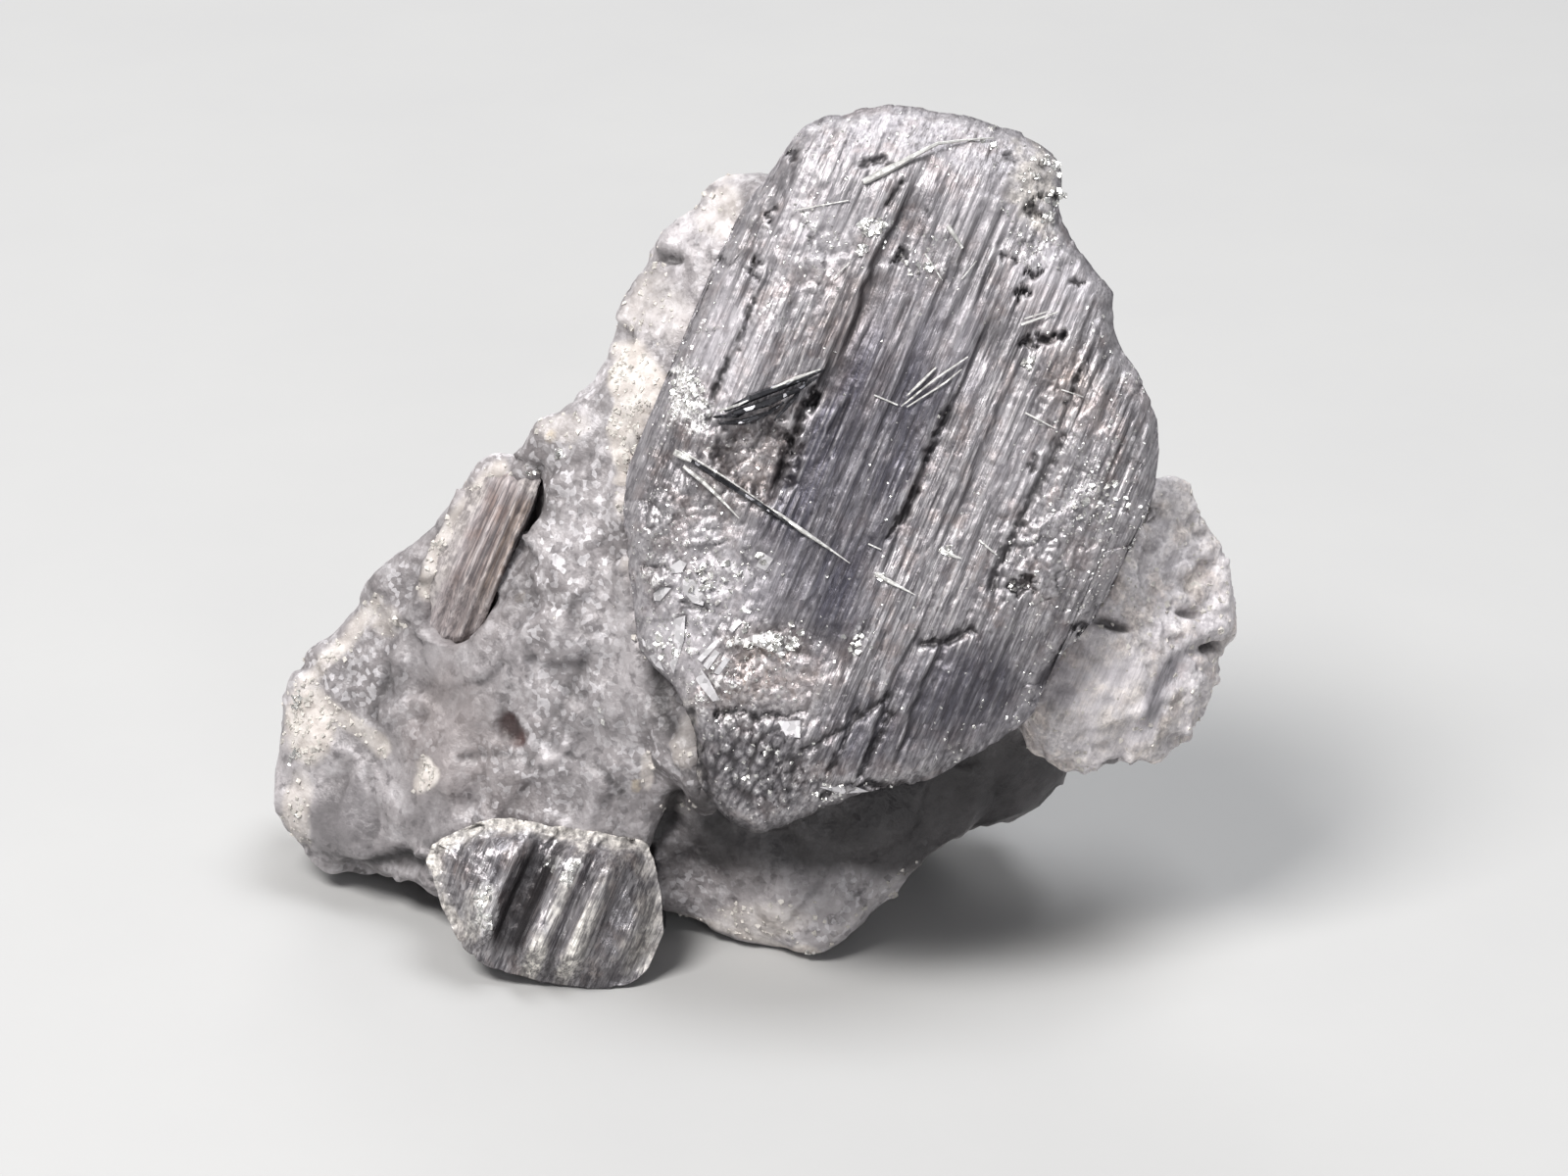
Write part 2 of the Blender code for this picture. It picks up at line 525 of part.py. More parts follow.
def weather(mesh, roughness):
    """Wears a rock's surface inwards: broad hollows, chipped facets and small pits."""
    mesh.update()
    moves = []
    for vert in mesh.vertices:
        place = vert.co / MM
        broad = noise.noise(place * 0.33 + Vector((5, 0, 0)))
        facets = noise.voronoi(place * 0.62)[0]
        pits = noise.noise(place * 1.25 + Vector((0, 9, 0)))
        depth = 0.03 + 0.36 * broad + 0.45 * (facets[0] - 0.45) + 0.2 * pits
        moves.append(vert.normal * (-MM * roughness * max(-0.3, depth)))
    for vert, move in zip(mesh.vertices, moves):
        vert.co += move
    mesh.update()


def envelope(name, lumps, growth, cutters, frame):
    """The pocket of a lumpy crystal: its lumps, swollen by a clearance."""
    bm = bmesh.new()
    for corners in lumps:
        centre = sum((Vector(c) for c in corners), Vector()) / len(corners)
        swollen = [Vector(c) + (Vector(c) - centre).normalized() * growth for c in corners]
        hull(bm, swollen)
    pocket = object_of(name, bm, cutters, frame)
    remesh = pocket.modifiers.new("Remesh", "REMESH")
    remesh.mode = "VOXEL"
    remesh.voxel_size = SIDE_VOXEL * MM
    settle(pocket)
    decimate = pocket.modifiers.new("Decimate", "DECIMATE")
    decimate.ratio = 0.12
    settle(pocket)
    make_cutter(pocket)
    return pocket


def drawn_prism(section, place, length, ends):
    """A section (across, out) drawn out along the striae, with its two ends worn by a share."""
    bm = prism(section, -length / 2, length / 2)
    for share in (-0.36, -0.12, 0.12, 0.36):
        slice_mesh(bm, Vector((0, 0, share * length)), Vector((0, 0, 1)))
    along_way = Vector((*along_striae(1, 0), 0))
    across_way = Vector((*along_striae(0, 1), 0))
    for vert in bm.verts:
        across, out, along = vert.co
        taper = 1 - ends * smooth(abs(along) / length, 0.3, 0.52)
        offset = along_way * along + across_way * (across * taper)
        vert.co = Vector(place) + offset + Vector((0, 0, out * taper))
    return bm


def blade_crystal(parts, cutters, frame):
    """The dark blade in the left rock, and the cutter that makes its pocket."""
    bm = drawn_prism(BLADE_SECTION, BLADE_PLACE, BLADE_LENGTH, 0.35)
    crystal = object_of("blade_crystal", bm, parts, frame)
    section = grown(convex_outline(BLADE_SECTION), GAP)
    pocket_mesh = drawn_prism(section, BLADE_PLACE, BLADE_LENGTH + 2 * GAP, 0.0)
    pocket = object_of("blade_pocket", pocket_mesh, cutters, frame)
    make_cutter(pocket)
    return crystal, pocket


def convex_outline(section):
    """The points of a clockwise section that its convex hull keeps, so that a pocket has no ribs."""
    points = [Vector(p) for p in section]
    kept = list(points)
    changed = True
    while changed:
        changed = False
        for i, point in enumerate(kept):
            before, after = kept[i - 1], kept[(i + 1) % len(kept)]
            if (point - before).cross(after - point) >= 0:
                kept.pop(i)
                changed = True
                break
    return kept


def floor_block(cutters):
    """Everything below the table."""
    bpy.ops.mesh.primitive_cube_add(size=FLOOR_REACH * MM, location=(0, 0, -FLOOR_REACH * MM / 2))
    block = bpy.context.object
    block.name = "floor_block"
    for collection in list(block.users_collection):
        collection.objects.unlink(block)
    cutters.objects.link(block)
    make_cutter(block)
    return block


def build():
    clear_scene()
    parts = new_collection("andorite_specimen")
    cutters = new_collection("cutters")
    frame = bpy.data.objects.new("face_frame", None)
    frame.rotation_euler.x = math.radians(90) - FACE_LEAN
    frame.location = Vector(FACE_CENTRE) * MM
    parts.objects.link(frame)
    floor = floor_block(cutters)

    crystal, slab_pocket = andorite_crystal(parts, cutters, frame)
    fluted, fluted_pocket = fluted_crystal(parts, cutters, frame)
    blade, blade_pocket = blade_crystal(parts, cutters, frame)
    side = rock("side_crystal", SIDE_LUMPS, SIDE_VOXEL, SIDE_TRIANGLES, 0.5, parts, frame)
    side_pocket = envelope("side_pocket", SIDE_LUMPS, GAP, cutters, frame)
    matrix = rock("matrix", MATRIX_LUMPS, MATRIX_VOXEL, MATRIX_TRIANGLES, 0.9, parts, frame)

    for cutter in (slab_pocket, fluted_pocket, blade_pocket, side_pocket, floor):
        add_boolean(matrix, cutter)
    settle(matrix)
    add_boolean(side, slab_pocket)
    settle(side)
    add_boolean(fluted, floor)
    settle(fluted)

    for obj in (crystal, fluted, blade, side, matrix):
        obj.data.materials.clear()
        obj.data.materials.append(finish_of(obj.name))


build()
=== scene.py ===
"""Andorite specimen: striated lead-grey crystals grown together on pale, crusted matrix rock."""

import functools
import math

import bmesh
import bpy
import numpy as np
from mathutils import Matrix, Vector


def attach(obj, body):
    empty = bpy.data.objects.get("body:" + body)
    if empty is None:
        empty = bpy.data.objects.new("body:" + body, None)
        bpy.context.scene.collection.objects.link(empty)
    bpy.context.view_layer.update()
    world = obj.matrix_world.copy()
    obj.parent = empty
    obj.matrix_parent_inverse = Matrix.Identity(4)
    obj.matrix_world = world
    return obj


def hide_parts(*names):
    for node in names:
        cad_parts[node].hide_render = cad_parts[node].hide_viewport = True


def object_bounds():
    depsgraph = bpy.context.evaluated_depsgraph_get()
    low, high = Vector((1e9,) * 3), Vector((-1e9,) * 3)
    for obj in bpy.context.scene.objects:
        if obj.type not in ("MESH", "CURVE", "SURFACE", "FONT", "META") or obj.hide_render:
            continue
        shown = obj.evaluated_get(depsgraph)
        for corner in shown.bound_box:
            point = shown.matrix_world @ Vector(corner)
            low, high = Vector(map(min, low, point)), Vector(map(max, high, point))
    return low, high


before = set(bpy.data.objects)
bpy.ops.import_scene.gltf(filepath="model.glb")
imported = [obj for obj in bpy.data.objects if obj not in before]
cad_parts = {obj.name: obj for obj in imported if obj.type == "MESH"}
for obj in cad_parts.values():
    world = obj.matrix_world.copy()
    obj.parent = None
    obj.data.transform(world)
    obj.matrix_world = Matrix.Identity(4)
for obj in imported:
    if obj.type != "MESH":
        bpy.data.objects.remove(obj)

cad_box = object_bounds()

# ---------------------------------------------------------------- the specimen's own frame
# u runs to the right across the big crystal's face, v up it and w out of it, all in millimetres.

MM = 0.001
FACE_LEAN = math.radians(25)
FACE_CENTRE = np.array((3.96, -4.14, 15.3))
STRIAE_LEAN = math.radians(23)
U_WAY = np.array((1.0, 0.0, 0.0))
V_WAY = np.array((0.0, math.sin(FACE_LEAN), math.cos(FACE_LEAN)))
W_WAY = np.array((0.0, -math.cos(FACE_LEAN), math.sin(FACE_LEAN)))
STRIAE_SINE, STRIAE_COSINE = math.sin(STRIAE_LEAN), math.cos(STRIAE_LEAN)
ALONG_WAY = U_WAY * STRIAE_SINE + V_WAY * STRIAE_COSINE
ACROSS_WAY = U_WAY * STRIAE_COSINE - V_WAY * STRIAE_SINE

SLAB_THICK = 5.2
SLAB_OUTLINE = (  # the big crystal's face, clockwise from its upper left corner: (u, v)
    (-2.4, 9.5), (-1.0, 9.95), (0.0, 10.1), (0.9, 10.0), (2.8, 9.65), (4.0, 9.15), (4.75, 8.35), (4.7, 7.2),
    (5.2, 6.1), (6.1, 4.95), (6.2, 3.75), (6.7, 2.9), (7.2, 1.85), (7.4, 0.8), (7.3, -0.1), (7.1, -1.3),
    (6.4, -2.6), (5.6, -4.1), (4.8, -5.0), (4.3, -5.7), (3.9, -6.7), (3.1, -7.35), (1.6, -8.2), (0.8, -8.6),
    (-0.7, -8.8), (-1.6, -9.2), (-2.7, -9.7), (-3.5, -10.0), (-4.3, -9.8), (-4.9, -9.2), (-5.4, -8.4), (-5.5, -7.2),
    (-5.9, -6.1), (-6.9, -5.0), (-7.1, -4.0), (-7.3, -2.1), (-7.4, -0.9), (-7.25, 0.3), (-6.9, 1.2), (-6.4, 2.4),
    (-5.4, 4.7), (-4.2, 7.1), (-3.3, 8.3),
)
FRONT_BEVELS = (  # bearing in degrees from +u towards +v, reach from the centre, and steepness
    (157, 5.0, 1.0), (196, 6.3, 0.9), (236, 7.6, 0.8), (254, 8.6, 0.9), (302, 6.2, 0.5), (318, 4.9, 0.5),
    (350, 5.9, 0.6), (28, 6.0, 0.7), (62, 8.0, 0.8), (84, 7.8, 0.5), (112, 8.2, 0.8),
)
BACK_BEVELS = ((35, 6.0, 0.45), (100, 8.0, 0.5), (170, 6.2, 0.4), (250, 8.0, 0.5), (325, 5.0, 0.5))

# Ledges along the striae: place across them, from and to along them, drop, and the run in which the face recovers.
LEDGES = (
    (-5.25, -0.8, 4.0, 0.22, 0.8), (-2.85, -2.0, 2.4, 0.50, 1.3), (-2.6, 2.2, 6.9, 0.50, 1.2),
    (0.75, -2.3, 4.7, 0.26, 1.1), (2.3, -7.8, -3.8, 0.26, 0.7), (3.1, -7.7, -3.9, 0.30, 0.8),
    (1.5, -7.2, -4.6, 0.20, 0.6), (3.7, -1.9, 4.9, 0.20, 0.9), (4.65, 1.5, 5.5, 0.20, 0.8),
    (2.0, -1.0, 5.5, 0.12, 0.7), (5.5, -1.0, 3.6, 0.16, 0.7), (-0.8, 1.0, 6.0, 0.12, 0.8),
)
# Where the face is broken rough: centre (u, v), half-width, half-height, depth and how strongly it is broken.
ROUGH_AREAS = (
    (-5.6, -2.9, 2.1, 3.0, 0.40, 1.0), (-4.2, -5.9, 2.6, 2.0, 0.32, 1.0), (-3.6, -8.5, 2.2, 1.6, 0.25, 1.0),
    (-2.0, 6.0, 0.9, 1.5, 0.08, 0.7), (-3.9, 0.45, 1.2, 1.25, 0.05, 0.9), (4.1, 6.1, 1.1, 1.1, 0.10, 0.8),
    (3.6, 8.3, 1.8, 1.3, 0.05, 0.8), (0.0, 9.3, 3.6, 1.3, 0.05, 0.55), (5.1, 1.6, 1.4, 3.4, 0.0, 0.35),
    (4.6, -2.2, 2.2, 2.4, 0.05, 0.55), (1.2, 5.6, 1.0, 1.2, 0.0, 0.30), (-5.4, 1.9, 0.8, 1.3, 0.0, 0.6),
)
# Where the face is painted paler, partly its own paler tone and partly painted light: centre (u, v), half-width,
# half-height and strength.
PALE_AREAS = (
    (-4.7, 3.9, 1.3, 2.6, 0.75), (-2.0, 6.6, 1.6, 1.6, 0.65), (0.2, 8.8, 3.8, 1.8, 0.28),
    (0.2, 4.6, 1.2, 1.8, 0.35), (4.4, 5.4, 1.5, 2.0, 0.78), (2.9, 7.2, 1.6, 1.6, 0.60),
    (-5.8, -4.6, 1.4, 1.4, 0.90), (-4.6, -2.9, 2.0, 1.7, 0.82), (3.4, 0.2, 1.3, 2.2, 0.38),
    (5.6, -1.6, 1.2, 1.6, 0.28), (-3.0, -5.8, 1.6, 0.9, 0.25), (5.9, 2.4, 0.8, 2.2, 0.10),
    (-3.7, 0.3, 1.0, 1.0, 0.15), (1.8, 3.6, 1.0, 1.6, 0.30), (-4.4, -8.6, 0.9, 0.9, 0.10),
)
# Stains, flaky parts, dark patches and painted glints, given in the same way.
TAN_AREAS = ((4.0, 8.2, 1.2, 1.3, 1.0), (4.0, 6.9, 0.7, 0.7, 0.8))
BROWN_AREAS = ((-3.7, 0.2, 1.3, 1.2, 0.55), (-3.6, -5.4, 2.2, 1.2, 0.65), (4.9, 2.6, 0.7, 1.2, 0.45))
FLAKY_AREAS = ((-5.2, -3.6, 2.2, 2.6, 1.0), (-4.0, -5.6, 2.4, 1.8, 1.0))
# The dark patches on the lower face are partly its tarnish and partly painted shade where it turns from the light.
DARK_PATCHES = ((2.2, -6.2, 2.6, 1.7, 0.85), (3.6, -6.0, 2.2, 1.4, 0.5), (-0.4, -7.1, 1.6, 1.2, 0.8))
PAINTED_GLINT_AREAS = (
    (-2.85, 4.26, 0.5, 0.5, 0.5), (-2.1, 6.3, 0.8, 1.2, 0.5), (-1.0, -4.6, 0.6, 0.5, 0.5),
    (-4.3, -2.8, 1.1, 0.6, 0.5), (-6.3, -4.6, 0.9, 1.1, 0.5), (-0.6, 6.5, 0.5, 0.6, 0.5), (1.2, 5.6, 0.8, 0.9, 0.5),
    (4.0, 6.1, 1.0, 0.9, 0.5), (-4.9, -5.9, 0.3, 0.5, 0.5), (-1.8, -8.9, 0.7, 0.3, 0.5), (5.6, -0.5, 0.8, 1.5, 0.5),
)
HOLLOWS = (  # broken hollows: centre (u, v), half-width, half-height and depth
    (-3.7, 0.35, 1.05, 1.15, 0.55), (5.5, -4.3, 0.35, 0.2, 0.25), (3.7, 3.5, 0.2, 0.12, 0.25),
    (3.9, 7.05, 0.22, 0.2, 0.35), (3.25, 5.8, 0.14, 0.12, 0.25), (3.9, 5.35, 0.2, 0.14, 0.3),
    (3.46, 5.0, 0.16, 0.1, 0.25), (3.66, 4.82, 0.13, 0.1, 0.25), (5.0, 5.1, 0.13, 0.12, 0.2),
    (-0.4, 8.4, 0.45, 0.16, 0.2), (-3.7, 5.6, 0.12, 0.3, 0.2), (-2.2, 6.3, 0.12, 0.2, 0.2),
    (-3.3, 6.9, 0.1, 0.3, 0.2), (-2.7, 8.65, 0.12, 0.24, 0.2), (0.2, 5.85, 0.1, 0.24, 0.2),
    (3.54, -3.15, 0.35, 0.2, 0.3), (-2.2, 1.95, 0.16, 0.3, 0.4), (4.2, 3.55, 0.22, 0.12, 0.25),
    (4.66, 3.7, 0.15, 0.12, 0.25), (-5.3, -3.65, 0.35, 0.16, 0.25), (4.1, 8.3, 0.16, 0.13, 0.2),
    (4.3, 7.5, 0.18, 0.14, 0.25), (3.3, 8.6, 0.12, 0.12, 0.15),
)
# Cracks and grooves: their runs on the face, half-width and depth.
GROOVES = (
    (((-4.8, -6.7), (-4.2, -6.5), (-3.75, -6.7), (-3.3, -6.65), (-2.9, -6.75), (-2.45, -6.5)), 0.09, 0.2),
    (((-2.4, -7.55), (-1.55, -7.2), (-0.8, -6.7), (-0.05, -6.1)), 0.10, 0.16),
    (((-1.9, -8.8), (-1.1, -8.5), (0.25, -8.6)), 0.08, 0.28),
    (((-5.5, -6.55), (-5.3, -7.6), (-5.0, -9.05)), 0.13, 0.25), (((1.55, 1.7), (0.95, 0.35)), 0.10, 0.25),
    (((0.7, -0.5), (0.0, -1.7)), 0.10, 0.25), (((5.1, 2.75), (4.75, 1.85)), 0.05, 0.14),
    (((3.95, 0.5), (3.75, -0.05)), 0.05, 0.14), (((4.6, 0.9), (2.95, -2.5), (2.7, -3.2)), 0.13, 0.14),
    (((0.8, -4.75), (1.4, -4.62), (2.15, -4.35)), 0.12, 0.24), (((0.24, 7.8), (-0.1, 7.15)), 0.08, 0.25),
    (((-3.75, 4.7), (-4.3, 3.25)), 0.05, 0.12), (((-3.3, -0.7), (-2.75, 0.8), (-2.4, 1.8)), 0.10, 0.25),
    (((-4.5, 3.05), (-5.05, 1.25)), 0.06, 0.14), (((3.7, 3.5), (4.2, 3.55), (4.65, 3.7)), 0.08, 0.2),
    (((-5.6, -3.55), (-5.05, -3.75)), 0.07, 0.2), (((-0.9, -6.4), (-1.7, -8.2)), 0.08, 0.18),
    (((-0.1, -6.6), (-0.9, -8.4)), 0.08, 0.18),
)

PLATES = (  # flat cleavage plates and bars bedded in the broken parts: their corners (u, v)
    ((-6.98, -4.09), (-6.28, -4.13), (-5.62, -3.94), (-5.66, -4.62), (-5.95, -5.55), (-6.16, -4.95), (-6.78, -4.80)),
    ((-6.64, -5.05), (-6.43, -4.99), (-6.20, -5.48), (-6.44, -5.34)),
    ((-5.61, -5.26), (-5.34, -5.19), (-4.95, -5.73), (-4.68, -6.24), (-4.87, -6.28), (-5.26, -5.81)),
    ((-5.69, -2.96), (-5.42, -2.96), (-5.07, -3.43), (-5.14, -3.67), (-5.42, -3.59), (-5.69, -3.27)),
    ((-6.04, -2.61), (-5.77, -2.42), (-5.58, -2.53), (-5.73, -2.77), (-5.97, -2.79)),
    ((-3.08, -6.83), (-2.49, -6.79), (-2.49, -7.27), (-2.88, -7.21)),
    ((-6.51, -3.35), (-6.28, -3.16), (-6.00, -3.19), (-6.32, -3.55), (-6.47, -3.53)),
    ((-5.30, -5.12), (-5.18, -5.20), (-4.66, -4.66), (-4.78, -4.58)),
    ((-5.14, -5.30), (-5.00, -5.42), (-4.68, -4.96), (-4.80, -4.86)),
    ((-4.84, -5.50), (-4.70, -5.56), (-4.40, -5.14), (-4.52, -5.06)),
    ((-4.44, -4.32), (-4.34, -4.40), (-4.06, -4.12), (-4.16, -4.02)),
    ((-1.95, -8.62), (-1.20, -8.52), (-0.62, -8.74), (-1.40, -8.80)),
    ((-0.80, 6.50), (-0.42, 6.44), (-0.30, 6.78), (-0.66, 6.86)),
    ((-0.95, 5.88), (-0.68, 5.94), (-0.64, 6.12), (-0.90, 6.08)),
    ((-3.70, -2.60), (-3.42, -2.72), (-3.22, -2.40), (-3.50, -2.24)),
)

FLUTED_OUTLINE = (
    (-13.0, -10.5), (-12.0, -9.9), (-10.9, -9.6), (-9.9, -9.7), (-8.8, -9.9), (-8.1, -10.0), (-7.0, -10.2),
    (-6.6, -10.6), (-6.4, -11.4), (-6.3, -12.2), (-6.3, -13.1), (-6.6, -13.8), (-7.1, -14.3), (-8.2, -14.5),
    (-9.3, -14.4), (-10.6, -14.1), (-11.6, -13.7), (-12.2, -13.0), (-12.6, -12.2), (-12.9, -11.3),
)
FLUTED_PROFILE = (  # across the striae: place, and height above the crystal's middle
    (-8.2, -2.0), (-7.4, -1.1), (-6.6, -0.5), (-5.95, -0.25), (-5.3, -0.3), (-5.15, -0.9), (-4.5, -0.95),
    (-4.3, -0.25), (-4.05, 0.0), (-3.6, -0.02), (-3.45, -0.5), (-3.3, -0.5), (-3.15, -0.05), (-2.7, -0.1),
    (-2.5, -0.6), (-1.9, -0.65), (-1.5, -0.6), (-1.2, -0.8), (-0.7, -1.5), (-0.2, -2.3),
)
# The light stripes lie on the ribs and the dark ones in the furrows: partly pale crust, partly painted highlight on
# the ridges and painted shade in the furrows.
FLUTED_STRIPES = (  # across the striae: place, and how light the flutes are there
    (-6.9, 0.15), (-6.1, 0.85), (-5.6, 1.0), (-5.2, 0.0), (-4.3, 0.05), (-3.95, 0.9), (-3.65, 0.9), (-3.4, 0.15),
    (-3.25, 0.15), (-3.0, 0.9), (-2.75, 0.85), (-2.4, 0.45), (-1.0, 0.68), (-0.5, 0.80),
)
# Bright spots at the black band's top, painted white as glints; bright flakes are strewn there too.
FLUTED_GLINTS = ((-9.4, -10.85, 0.35, 0.22, 1.0), (-8.8, -10.95, 0.3, 0.25, 1.0), (-9.0, -11.3, 0.2, 0.25, 1.0))
FLUTED_FROST = ((-11.25, -12.15, 0.42, 0.95, 0.95),)
FLUTED_FRONT = -4.0
FLUTED_THICK = 5.2
BLADE_PLACE = (-11.4, -2.1, -5.2)
BLADE_OUTLINE = (  # along and across the striae, about the blade's middle
    (2.75, 0.15), (2.3, 0.84), (-1.6, 0.96), (-2.6, 0.65), (-3.0, -0.2), (-2.6, -1.2), (0.4, -1.45), (2.2, -1.15),
)
BLADE_PROFILE = (  # across the striae: place, and height above the blade's middle
    (-1.45, -1.40), (-0.9, -1.08), (-0.6, -0.86), (-0.4, -0.88), (-0.15, -0.58), (0.1, -0.60), (0.3, -0.26),
    (0.5, -0.36), (0.75, 0.0), (0.9, -0.08), (0.97, -0.5),
)
BLADE_BED = (  # along and across: the outline on which the rock closes, all of the blade's but the slit at its right
    (2.85, 0.15), (2.4, 0.84), (1.7, 0.1), (0.2, -0.3), (-0.9, 0.96), (-1.6, 0.96), (-2.6, 0.65), (-3.0, -0.2),
    (-2.6, -1.2), (0.4, -1.45), (2.2, -1.15),
)
BLADE_THICK = 1.5


def placed(u, v, w):
    """World places, in metres, of points of the specimen's own frame."""
    ways = np.multiply.outer(u, U_WAY) + np.multiply.outer(v, V_WAY) + np.multiply.outer(w, W_WAY)
    return (ways + FACE_CENTRE) * MM


def own_place(points):
    """(u, v, w) of world places given in metres."""
    away = np.asarray(points) / MM - FACE_CENTRE
    return away @ U_WAY, away @ V_WAY, away @ W_WAY


def striae_place(u, v):
    """(along, across) the striae of places on the face."""
    return u * STRIAE_SINE + v * STRIAE_COSINE, u * STRIAE_COSINE - v * STRIAE_SINE


def face_place(along, across):
    """(u, v) of places given along and across the striae."""
    return along * STRIAE_SINE + across * STRIAE_COSINE, along * STRIAE_COSINE - across * STRIAE_SINE


# ---------------------------------------------------------------- natural unevenness


def hashed(cells, seed):
    """A share from 0 to 1 for each whole-numbered cell, the same each run; the large numbers only mix its digits."""
    mixed = cells[..., 0] * 73856093 ^ cells[..., 1] * 19349663 ^ cells[..., 2] * 83492791 ^ seed * 2654435
    mixed = mixed & 0xFFFFFFFF
    mixed = (mixed ^ (mixed >> 15)) * 2246822519 & 0xFFFFFFFF
    mixed = (mixed ^ (mixed >> 13)) * 3266489917 & 0xFFFFFFFF
    return ((mixed ^ (mixed >> 16)) & 0xFFFFFF) / 0xFFFFFF


def at(u, v, w=0.0):
    """Places made of numbers or arrays."""
    return np.stack(np.broadcast_arrays(*[np.asarray(part, float) for part in (u, v, w)]), axis=-1)


def drift(places, seed=0):
    """Smooth unevenness from -1 to 1."""
    base = np.floor(places).astype(np.int64)
    share = places - base
    share = share * share * (3 - 2 * share)
    total = 0.0
    for corner in np.ndindex(2, 2, 2):
        weight = np.prod(np.where(corner, share, 1 - share), axis=-1)
        total = total + weight * hashed(base + np.array(corner), seed)
    return total * 2 - 1


def layered(places, layers, seed=0):
    """Unevenness with finer and finer layers, about -1 to 1."""
    total, weight = 0.0, 0.0
    for layer in range(layers):
        strength = 0.55 ** layer
        total = total + strength * drift(places * 2.03 ** layer + layer * 17.3, seed + layer)
        weight += strength
    return total / weight


def grains(places, seed=0, flat=False):
    """Random cells: distance from the nearest centre, nearness of the border, a share and the way from the centre."""
    base = np.floor(places).astype(np.int64)
    nearest = np.full(places.shape[:-1], np.inf)
    second, tag = nearest.copy(), np.zeros(places.shape[:-1])
    offset = np.zeros(places.shape)
    for step in np.ndindex(3, 3, 1 if flat else 3):
        cell = base + np.array(step) - np.array((1, 1, 0 if flat else 1))
        centre = cell + at(*[hashed(cell, seed + k) for k in (1, 2)], 0.5 if flat else hashed(cell, seed + 3))
        away = places - centre
        distance = np.linalg.norm(away, axis=-1)
        closer = distance < nearest
        second = np.where(closer, nearest, np.minimum(second, distance))
        tag = np.where(closer, hashed(cell, seed + 4), tag)
        offset = np.where(closer[..., None], away, offset)
        nearest = np.minimum(nearest, distance)
    return nearest, second - nearest, tag, offset


def chipped(places, seed=0, flat=False):
    """Height of a surface broken into small flat chips that lean at random, about -0.6 to 0.6."""
    _, _, tag, offset = grains(places, seed, flat)
    turn = tag * 43.0
    lean = at(np.cos(turn), np.sin(turn), np.cos(turn * 1.7))
    return (offset * lean).sum(-1) + (tag - 0.5) * 0.5


def crumbly(places, seed):
    """Height of a surface of rounded crumbs of many sizes."""
    distance, _, tag, _ = grains(places, seed)
    return (0.5 - distance) * (0.5 + tag)


def smooth(value, low, high):
    """0 below low, 1 above high, and a smooth step in between."""
    share = np.clip((value - low) / (high - low), 0, 1)
    return share * share * (3 - 2 * share)


def fading(value, low, high):
    """1 below low, 0 above high, and a smooth step in between."""
    return 1 - smooth(value, low, high)


def oval(u, v, centre_u, centre_v, half_u, half_v, fall=0.3):
    """1 inside an oval and 0 outside it; the fall is the share of its size on each side of the change."""
    reach = np.hypot((u - centre_u) / half_u, (v - centre_v) / half_v)
    return fading(reach, 0.85 - fall, 0.85 + fall)


def spots(u, v, marks, fall=0.3):
    """The strongest of some soft round marks: (u, v, half-width, half-height, strength)."""
    mask = np.zeros(np.shape(u))
    for *area, strength in marks:
        mask = np.maximum(mask, strength * oval(u, v, *area, fall))
    return mask


def strongest(*masks):
    """The highest of some masks at each place."""
    return functools.reduce(np.maximum, masks)


def line_distance(u, v, run):
    """Distance of places from a run of straight lines."""
    nearest = np.full(np.shape(u), np.inf)
    for (au, av), (bu, bv) in zip(run, run[1:]):
        du, dv = bu - au, bv - av
        share = np.clip(((u - au) * du + (v - av) * dv) / (du * du + dv * dv), 0, 1)
        nearest = np.minimum(nearest, np.hypot(u - au - share * du, v - av - share * dv))
    return nearest


def inside(u, v, outline):
    """Whether places lie inside an outline."""
    odd = np.zeros(np.shape(u), bool)
    for (au, av), (bu, bv) in zip(outline, np.roll(outline, -1, 0)):
        if av == bv:
            continue
        crossing = ((av > v) != (bv > v)) & (u < (bu - au) * (v - av) / (bv - av) + au)
        odd ^= crossing
    return odd


def steepest(u, v, bevels, turn=1.8):
    """How far the steepest bevel takes a face down at each place; each bevel starts with a rounded turn."""
    fall = np.zeros(np.shape(u))
    for bearing, reach, steepness in bevels:
        angle = math.radians(bearing)
        past = np.maximum(0, u * math.cos(angle) + v * math.sin(angle) - reach + turn / 3)
        rounded = np.where(past < turn, past * past / (2 * turn), past - turn / 2)
        fall = np.maximum(fall, rounded * steepness)
    return fall


# ---------------------------------------------------------------- the skins of the crystals


def laths(along, across, width, length, seed):
    """A share from 0 to 1 for each of the narrow, blunt-ended laths that lie along the striae."""
    column = np.floor(across / width).astype(np.int64)
    zero = np.zeros_like(column)
    start = hashed(at(column, zero, zero).astype(np.int64), seed) * 9.0
    row = np.floor(along / length + start).astype(np.int64)
    return hashed(at(column, row, zero).astype(np.int64), seed + 1)


def bent_across(along, across):
    """Places across the striae, which bend a little along their run."""
    return across + 0.07 * drift(at(along * 0.16, across * 0.5), 3)


def striae_relief(along, across):
    """Height of the striae: broad ridges, blunt-ended laths and fine threads."""
    bent = bent_across(along, across)
    ridges = 0.034 * drift(at(bent / 0.42, along * 0.07, 1.0), 5)
    threads = 0.024 * (1 - 2 * np.abs(drift(at(bent / 0.10, along * 0.30, 2.0), 7)))
    wide = 0.028 * laths(along, bent, 0.31, 2.1, 11)
    narrow = 0.034 * laths(along, bent, 0.12, 0.8, 21)
    return ridges + threads + wide + narrow - 0.08


def slit_marks(along, across):
    """Short dark slits that lie along the striae, as a share; their dark is painted shade."""
    bent = bent_across(along, across)
    fine = smooth(drift(at(bent / 0.17, along * 0.50, 4.0), 63), 0.30, 0.75)
    return fine * smooth(drift(at(across * 0.5, along * 0.35, 5.0), 65), -0.55, 0.25)


